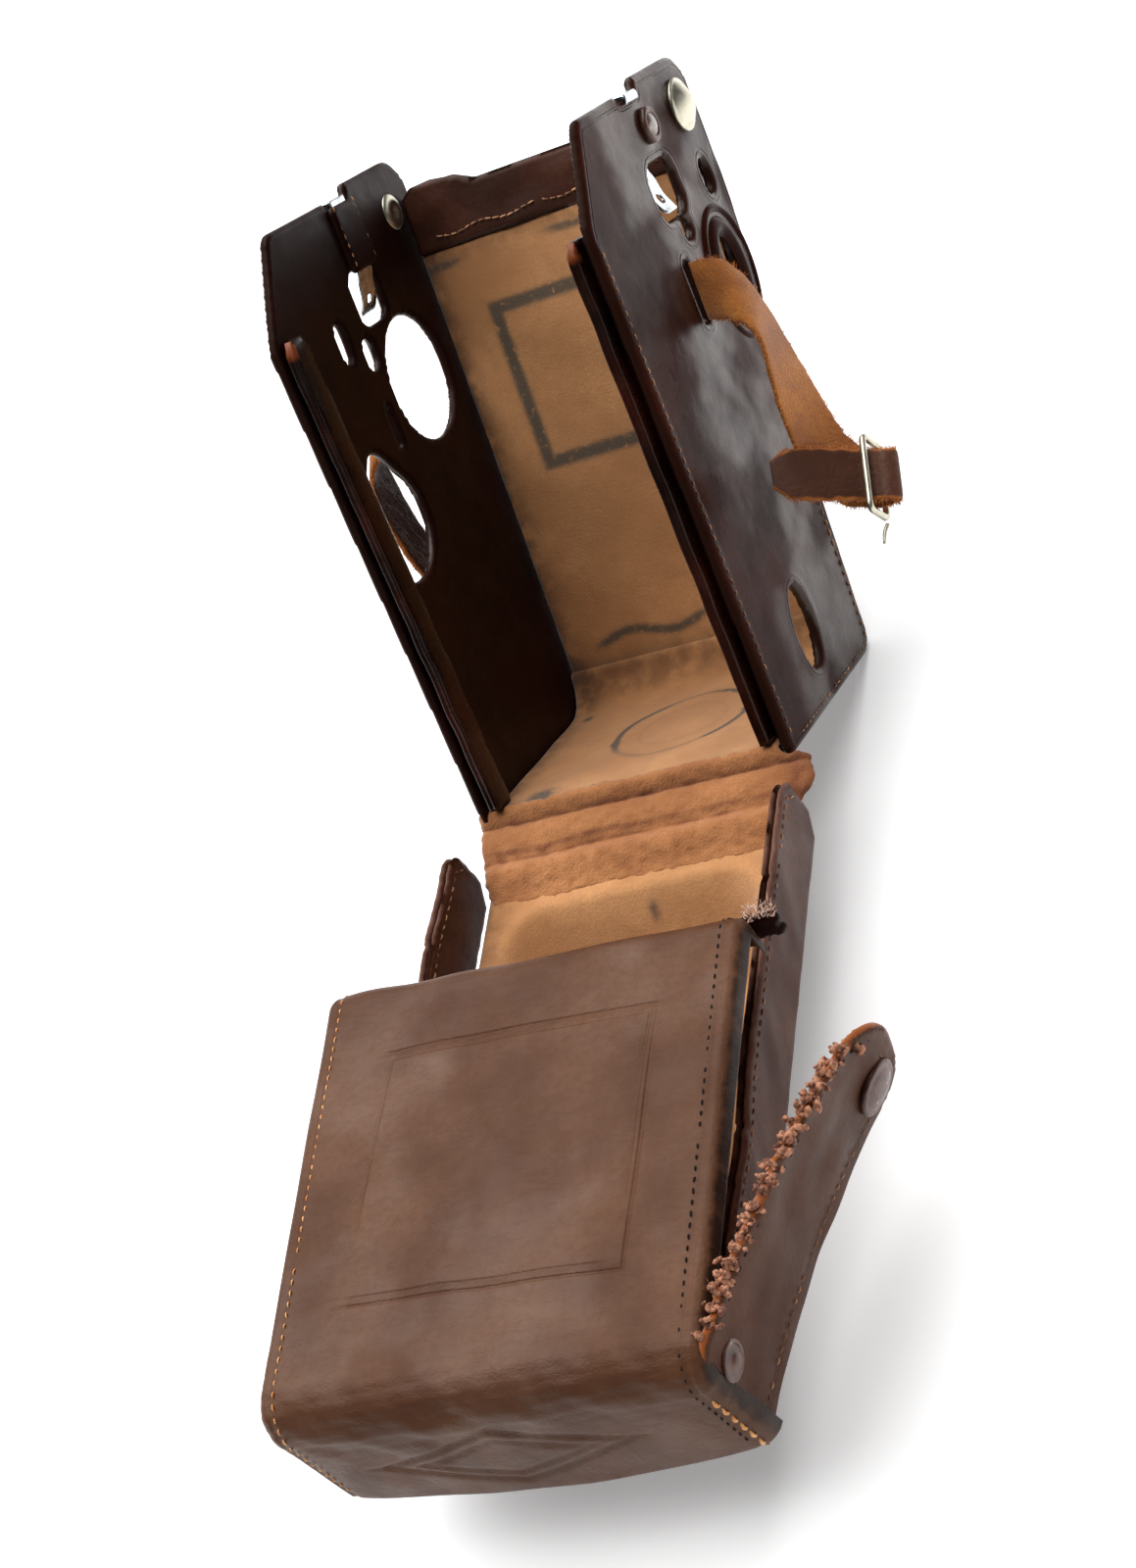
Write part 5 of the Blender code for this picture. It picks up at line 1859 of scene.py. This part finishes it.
@dataclass
class TornBand:
    """The right band, torn from the top along a seam and swung out on the corner where it still holds."""

    paint: Finishes
    corner: tuple[float, float, float] = (0.0457, -0.0832, 0.0246)
    thickness: float = 0.0022
    length: float = 0.082
    height: float = 0.0325
    heading: tuple[float, float] = (5.0, 26.0)
    lean: tuple[float, float] = (2.0, 17.0)
    cap: tuple[float, float] = (0.0725, 0.0105)
    rivet: tuple[float, float] = (0.007, 0.0215)

    def embed(self, u: Array, v: Array, w: Array) -> Array:
        """The band turns away from the hood along its length and leans out more towards its tip.

        The plan is the running sum of short steps, each turned by the heading at its place.

        Args:
            u: Places along the band from its corner.
            v: Places up from its foot.
            w: Height over its middle, outward.

        Returns:
            (n, 3) points in the frame.
        """
        steps = np.linspace(-0.004, self.length + 0.004, 200)
        share = np.clip(steps / self.length, 0, 1)
        angle = np.radians(self.heading[0] + (self.heading[1] - self.heading[0]) * share)
        step = steps[1] - steps[0]
        x = np.cumsum(np.sin(angle)) * step
        y = np.cumsum(np.cos(angle)) * step
        zero = np.interp(0.0, steps, x), np.interp(0.0, steps, y)
        here = np.interp(u, steps, angle)
        along = np.clip(u / self.length, 0, 1)
        lean = np.radians(self.lean[0] + (self.lean[1] - self.lean[0]) * along)
        out = self.thickness / 2 + w * np.cos(lean) + v * np.sin(lean)
        rise = v * np.cos(lean) - w * np.sin(lean)
        px = self.corner[0] + np.interp(u, steps, x) - zero[0] + out * np.cos(here)
        py = self.corner[1] + np.interp(u, steps, y) - zero[1] - out * np.sin(here)
        return columns([px, py, self.corner[2] + rise])

    def outline(self) -> Array:
        """Outline in length and height, round at the free end."""
        long, tall = self.length, self.height
        return np.vstack([
            [(0.0, 0.0), (long - 0.012, 0.0)],
            arc(long - 0.012, 0.012, 0.012, -90, 0, 12)[1:],
            arc(long - 0.016, tall - 0.016, 0.016, 0, 90, 12),
            [(0.0075, tall)], arc(0.0078, tall - 0.007, 0.007, 100, 180, 6),
        ])

    def build_sheet(self) -> None:
        """The leather: smooth below and torn along its top."""

        def ragged(places: Array) -> Array:
            """Bites out of the top edge, deepest midway along it."""
            top = step_up(places[:, 1], self.height - 0.01, self.height - 0.003)
            middle = step_up(places[:, 0], 0.004, 0.014) * step_up(-places[:, 0], -0.076, -0.066)
            bites = 0.0009 * (waves(places, 0.006, 37) + 0.6 * waves(places, 0.0024, 38)) + 0.0006
            return bites * top * middle

        def relief(u: Array, v: Array, distance: Array) -> Array:
            """Shallow waves and a groove beside the inset seam."""
            inset = bell(distance + 0.0048, 0.0007) * step_up(-v, -0.024, -0.018)
            return 0.00025 * waves(columns([u, v]), 0.014, 39) - 0.00022 * inset

        cut = Cut(self.outline(), lines(0, self.length, 0.0008), lines(0, self.height, 0.0008), self.thickness,
                  ragged=ragged, relief=relief, edge_round=0.0007)
        sheet = cut.surface(self.embed)
        finished("right_band_leather", sheet, [self.paint.band, self.paint.torn], Body.BAND, Slot.HIDE,
                 ["hood_right_band"])

    def build_seams(self) -> None:
        """The inset seam round the cap, and the empty holes beside the tear."""
        face = self.thickness / 2 + 0.0001
        long, inset = self.length, 0.0048
        route = np.vstack([
            [(0.006, inset), (long - 0.012, inset)],
            arc(long - 0.012, 0.012, 0.012 - inset, -90, 0, 10)[1:],
            [(long - inset, self.height - 0.017)],
        ])
        finished("right_band_stitches", Seam(0.0025, 0.0015, 0.00034, 0.12, 73).sewn(self.embed, route, face),
                 [self.paint.thread], Body.BAND, Slot.HIDE)
        row = np.vstack([
            arc(long - 0.0165, self.height - 0.0165, 0.0136, 20, 90, 10), [(0.012, self.height - 0.003)],
        ])
        holes = holes_along(self.embed, row, 0.0031, face - 0.00012, 0.00042)
        finished("right_band_holes", holes, [self.paint.hole], Body.BAND, Slot.HIDE)

    def build_tufts(self) -> None:
        """Knobbly torn fibre along the top edge."""
        random = np.random.default_rng(57)
        count = 330
        u = 0.0065 + 0.003 * random.integers(0, 23, count) + random.normal(0, 0.00045, count)
        wave = waves(columns([u]), 0.006, 58)
        v = self.height - 0.0008 + 0.0006 * wave + random.normal(0.0002, 0.0009, count)
        v -= 0.012 * step_up(u, 0.066, 0.078) ** 2
        w = random.normal(0, 0.0009, count)
        spots = self.embed(u, v, w)
        turn = unit(random.normal(size=(count, 3)))
        third = unit(np.cross(turn, random.normal(size=(count, 3))))
        frames = np.stack([turn, third, np.cross(turn, third)], 1)
        sizes = (0.0014 * random.uniform(0.5, 1.4, count))[:, None] * np.array([1.5, 0.9, 0.7])
        crumbs = scattered(lump_shape(), spots, frames, sizes)
        hairs = tufts(spots[::3], np.array([0.4, 0.0, 1.0]), 0.0016, 0.00014, 59)
        finished("right_band_tear", merged([crumbs, hairs]), [self.paint.torn], Body.BAND, Slot.HIDE)

    def build_metal(self) -> None:
        """The snap cap, the socket behind it and the rivet at the corner."""
        rivet = np.vstack([
            arc(0, -0.001, 0.0026, 88, 45, 7),
            [(0.003, 0.0003), (0.0036, 0.0005), (0.0041, 0.0003), (0.0041, -0.0002)],
        ])
        socket = np.array([
            (0.0018, -0.0002), (0.0018, 0.0016), (0.0024, 0.002),
            (0.0044, 0.0018), (0.005, 0.001), (0.005, -0.0002),
        ])
        lacquer, nickel = (self.paint.lacquer, Slot.LACQUER), (self.paint.nickel, Slot.NICKEL)
        for name, node, place, side, profile, (finish, slot) in (
            ("right_cap_shell", "right_snap_cap", self.cap, 1, cap_profile(), lacquer),
            ("right_rivet_head", "right_band_rivet", self.rivet, 1, rivet, lacquer),
            ("right_socket_ring", "right_snap_socket", self.cap, -1, socket, nickel),
        ):
            heights = side * np.array([self.thickness / 2, 0.005])
            ends = self.embed(np.full(2, place[0]), np.full(2, place[1]), heights)
            finished(name, turned(profile, ends[0], ends[1] - ends[0], 44), [finish], Body.BAND, slot, [node])

    def build(self) -> None:
        """Build the whole band."""
        self.build_sheet()
        self.build_seams()
        self.build_tufts()
        self.build_metal()


# ---- straps


@dataclass
class Straps:
    """The carrying strap's two ends, with the buckle on the right one.

    Rows of a route give the place in the cradle's axes (out from the wall, depth, height), the width's
    direction and the width.
    """

    paint: Finishes
    cradle: Cradle
    thickness: float = 0.0015
    sides: int = 28

    RIGHT = np.array([
        (0.0006, 0.0397, 0.0977, 0.0, 0.0, 1.0, 0.0135), (0.006, 0.04, 0.0965, 0.0, 0.42, 0.9, 0.014),
        (0.0098, 0.0402, 0.0925, -0.1, 0.72, 0.66, 0.0145), (0.0122, 0.0396, 0.086, -0.1, 0.93, 0.32, 0.015),
        (0.0132, 0.0388, 0.078, 0.05, 0.97, 0.15, 0.015), (0.014, 0.0382, 0.069, 0.22, 0.93, 0.25, 0.0152),
        (0.0156, 0.0376, 0.0585, 0.3, 0.72, 0.58, 0.016), (0.019, 0.038, 0.05, 0.24, 0.56, 0.8, 0.0152),
        (0.0245, 0.0394, 0.0455, 0.08, 0.58, 0.81, 0.0128), (0.0288, 0.0386, 0.0452, 0.02, 0.58, 0.81, 0.012),
        (0.0307, 0.0372, 0.046, 0.0, 0.58, 0.81, 0.0118), (0.0288, 0.0356, 0.0472, 0.0, 0.58, 0.81, 0.0117),
        (0.0248, 0.0358, 0.048, 0.0, 0.59, 0.81, 0.012), (0.019, 0.0322, 0.0508, 0.0, 0.55, 0.83, 0.0122),
        (0.0115, 0.0278, 0.0545, 0.02, 0.5, 0.86, 0.0116), (0.007, 0.0264, 0.056, 0.02, 0.48, 0.87, 0.0066),
    ])
    LEFT = np.array([
        (0.0006, 0.0282, 0.0912, 0, 0.0, 1.0, 0.0098), (0.0045, 0.0288, 0.09, 0, 0.3, 0.95, 0.0105),
        (0.0074, 0.0296, 0.085, 0, 0.75, 0.65, 0.0115), (0.0082, 0.0304, 0.077, 0, 0.95, 0.3, 0.012),
        (0.0076, 0.0312, 0.068, 0, 0.98, 0.2, 0.012), (0.0062, 0.0322, 0.059, 0, 0.98, 0.18, 0.0115),
        (0.0054, 0.033, 0.0525, 0, 0.98, 0.16, 0.0062),
    ])

    def turned_to_world(self, vectors: Array) -> Array:
        """Directions in the cradle's axes, turned into the frame."""
        cos, sin = math.cos(self.cradle.tilt), math.sin(self.cradle.tilt)
        x, depth, height = vectors.T
        return columns([x, depth * cos + height * sin, height * cos - depth * sin])

    def build_strap(self, name: str, node: str, route: Array, side: int, body: Body) -> None:
        """Carry a rounded section along a smooth route, suede outside and grain inside.

        The section is an oval whose cosine and sine are raised to small powers, which squares it off.

        Args:
            name: The start of the pieces' names.
            node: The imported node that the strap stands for.
            route: The strap's rows.
            side: -1 on the left wall and 1 on the right one.
            body: The body that it rides on.
        """
        across = unit(route[:, 3:6]) * route[:, 6:]
        rows = smooth_rows(columns([route[:, :3], across]), 12)
        face = self.cradle.half
        centre = self.cradle.place(side * (face + rows[:, 0]), rows[:, 1], rows[:, 2])
        width = self.turned_to_world(columns([side * rows[:, 3], rows[:, 4], rows[:, 5]]))
        ahead = np.gradient(centre, axis=0)
        through = unit(np.cross(ahead, width)) * self.thickness
        angles = np.linspace(0, 2 * np.pi, self.sides, endpoint=False) + 0.11
        wide = np.sign(np.cos(angles)) * np.abs(np.cos(angles)) ** 0.28 / 2
        high = np.sign(np.sin(angles)) * np.abs(np.sin(angles)) ** 0.45 / 2
        travelled = np.concatenate([[0], np.cumsum(np.linalg.norm(np.diff(centre, axis=0), axis=1))])
        uneven = 1 + 0.025 * waves(columns([travelled]), 0.004, 7)
        rings = centre[:, None] + width[:, None] * (wide[None, :, None] * uneven[:, None, None])
        rings = rings + through[:, None] * high[None, :, None]
        surface = skin(rings)
        outer = np.sin(angles + np.pi / self.sides) * side > 0
        surface.slots[0] = np.tile((~outer).astype(float), len(rings) - 1)
        widths = np.repeat(np.linalg.norm(width, axis=1), self.sides)
        edge = widths * np.tile(0.5 - np.abs(wide), len(rings))
        surface.layers["edge"] = np.append(edge, [0.001, 0.001])
        finished(name + "_leather", surface, [self.paint.strap, self.paint.strap_back], body, Slot.STRAP,
                 [node])
        fuzz = self.fuzz(centre, width, through, side)
        finished(name + "_fuzz", fuzz, [self.paint.fuzz], body, Slot.STRAP)

    @staticmethod
    def fuzz(centre: Array, width: Array, through: Array, side: int) -> Surface:
        """Short fibres along both edges of a strap, at seeded places.

        Args:
            centre: (n, 3) points of the strap's middle.
            width: (n, 3) vectors from edge to edge.
            through: (n, 3) vectors from face to face.
            side: -1 on the left wall and 1 on the right one.

        Returns:
            All fibres as one surface.
        """
        random = np.random.default_rng(95 + side)
        count = 1500 if side > 0 else 500
        place = random.uniform(0.02, 0.98, count) * (len(centre) - 1)
        index = place.astype(int)
        edge = np.where(random.random(count) < 0.5, -0.5, 0.5)
        lift = random.uniform(-0.3, 0.5, count) * side
        spots = centre[index] + width[index] * (edge * 0.985)[:, None] + through[index] * lift[:, None]
        away = unit(width[index]) * np.sign(edge)[:, None]
        frames_ahead = unit(away + random.normal(0, 0.5, (count, 3)))
        side_way = unit(np.cross(frames_ahead, random.normal(size=(count, 3))))
        frames = np.stack([side_way, np.cross(frames_ahead, side_way), frames_ahead], 1)
        lengths = random.uniform(0.0004, 0.0015, count)
        sizes = columns([np.full(count, 0.00018), np.full(count, 0.0001), lengths])
        return scattered(hair_shape(), spots, frames, sizes)

    def build_buckle(self) -> None:
        """The wire frame round both layers, with round corners, and its bent prong."""
        centre = self.cradle.spot(self.cradle.half + 0.0252, 0.0379, 0.0465)
        long_way = self.turned_to_world(unit(np.array([[0, 0.58, 0.81]])))[0]
        short_way = self.turned_to_world(unit(np.array([[0, 0.81, -0.58]])))[0]
        loop = rounded_box((-0.0086, 0.0086), (-0.0046, 0.0046), 0.0014)
        path = centre + loop[:, :1] * long_way + loop[:, 1:] * short_way
        keep = np.linalg.norm(path - np.roll(path, 1, 0), axis=1) > 1e-6
        path = path[keep]
        filled = np.vstack([path, path[:1]])
        reached = np.concatenate([[0], np.cumsum(np.linalg.norm(np.diff(filled, axis=0), axis=1))])
        places = np.arange(0, reached[-1] - 1e-4, 0.0006)
        path = columns([np.interp(places, reached, filled[:, k]) for k in range(3)])
        finished("buckle_wire", tube(path, np.full(len(path), 0.0008), True, 14), [self.paint.nickel],
                 Body.BUCKLE, Slot.NICKEL, ["buckle_frame"])
        start = centre + short_way * 0.0046 - long_way * 0.0075
        route = np.array([(0.0, -0.0022), (-0.0006, -0.0034), (-0.001, -0.0042), (-0.0014, -0.0066)])
        route = smooth_rows(route, 5)
        pin = start + route[:, :1] * np.array([1.0, 0, 0]) + route[:, 1:] * long_way
        radius = 0.0005 * np.sqrt(np.clip(np.linspace(1.0, 0.2, len(pin)) * 2, 0, 1))
        finished("prong_wire", tube(pin, radius, False, 10), [self.paint.nickel], Body.PRONG, Slot.NICKEL,
                 ["buckle_prong"])

    def build(self) -> None:
        """Build both straps and the buckle."""
        self.build_strap("right_strap", "right_strap", self.RIGHT, 1, Body.RIGHT_STRAP)
        self.build_strap("left_strap", "left_strap_end", self.LEFT, -1, Body.LEFT_STRAP)
        self.build_buckle()


# ---- studio


@dataclass
class Studio:
    """The pale floor, the soft light and the camera."""

    place: tuple[float, float, float] = (0.2783, -0.2929, 0.4496)
    ahead: tuple[float, float, float] = (-0.46607, 0.59135, -0.65809)
    over: tuple[float, float, float] = (0.20273, 0.7954, 0.57117)
    lens: float = 63.135
    window: tuple[float, float, float] = (-0.45, 0.6, 1.8)
    window_size: float = 3.0
    window_watts: float = 118.0
    sky: float = 0.06
    floor_reach: float = 6.0

    def build_floor(self) -> None:
        """A wide matt white floor under the case."""
        mesh = bpy.data.meshes.new("floor")
        reach = self.floor_reach
        corners = [(-reach, -reach, 0), (reach, -reach, 0), (reach, reach, 0), (-reach, reach, 0)]
        mesh.from_pydata(corners, [], [(0, 1, 2, 3)])
        floor = bpy.data.objects.new("floor", mesh)
        floor.location.z = -0.0004
        bpy.context.scene.collection.objects.link(floor)
        r = Recipe("white_floor")
        mesh.materials.append(r.shade(base_color=linear(246, 246, 246), roughness=0.8,
                                      emission_color=(1.0, 1.0, 1.0), emission_strength=0.3))

    def build_window(self) -> None:
        """One square soft light that faces the case."""
        lamp = bpy.data.lights.new("window", "AREA")
        lamp.size = self.window_size
        lamp.energy = self.window_watts
        obj = bpy.data.objects.new("window", lamp)
        obj.location = self.window
        aim = Vector((0.0, 0.03, 0.05)) - Vector(self.window)
        obj.rotation_euler = aim.to_track_quat("-Z", "Y").to_euler()
        bpy.context.scene.collection.objects.link(obj)

    def build(self) -> None:
        """Lay the floor, light it and set the camera."""
        self.build_floor()
        world = bpy.data.worlds.new("studio")
        world.use_nodes = True
        back = world.node_tree.nodes["Background"]
        back.inputs["Color"].default_value = (1, 1, 1, 1)
        back.inputs["Strength"].default_value = self.sky
        bpy.context.scene.world = world
        self.build_window()
        lens = bpy.data.cameras.new("camera")
        lens.lens = self.lens
        lens.sensor_width = 36.0
        camera = bpy.data.objects.new("camera", lens)
        ahead, over = unit(np.array(self.ahead)), unit(np.array(self.over))
        across = unit(np.cross(ahead, over))
        over = np.cross(across, ahead)
        turn = Matrix([(across[i], over[i], -ahead[i]) for i in range(3)])
        camera.matrix_world = Matrix.Translation(self.place) @ turn.to_4x4()
        bpy.context.scene.collection.objects.link(camera)
        bpy.context.scene.camera = camera
        bpy.context.scene.view_settings.view_transform = "Standard"


def main() -> None:
    """Build the case, then the studio, and note the sizes."""
    logging.basicConfig(level=logging.INFO, format="%(name)s %(message)s")
    paint = Finishes()
    cradle = Cradle(paint)
    for assembly in (cradle, Cover(paint), Hood(paint), TornBand(paint), Straps(paint, cradle), Studio()):
        LOG.info("building %s", type(assembly).__name__)
        assembly.build()


if __name__ == "__main__":
    main()
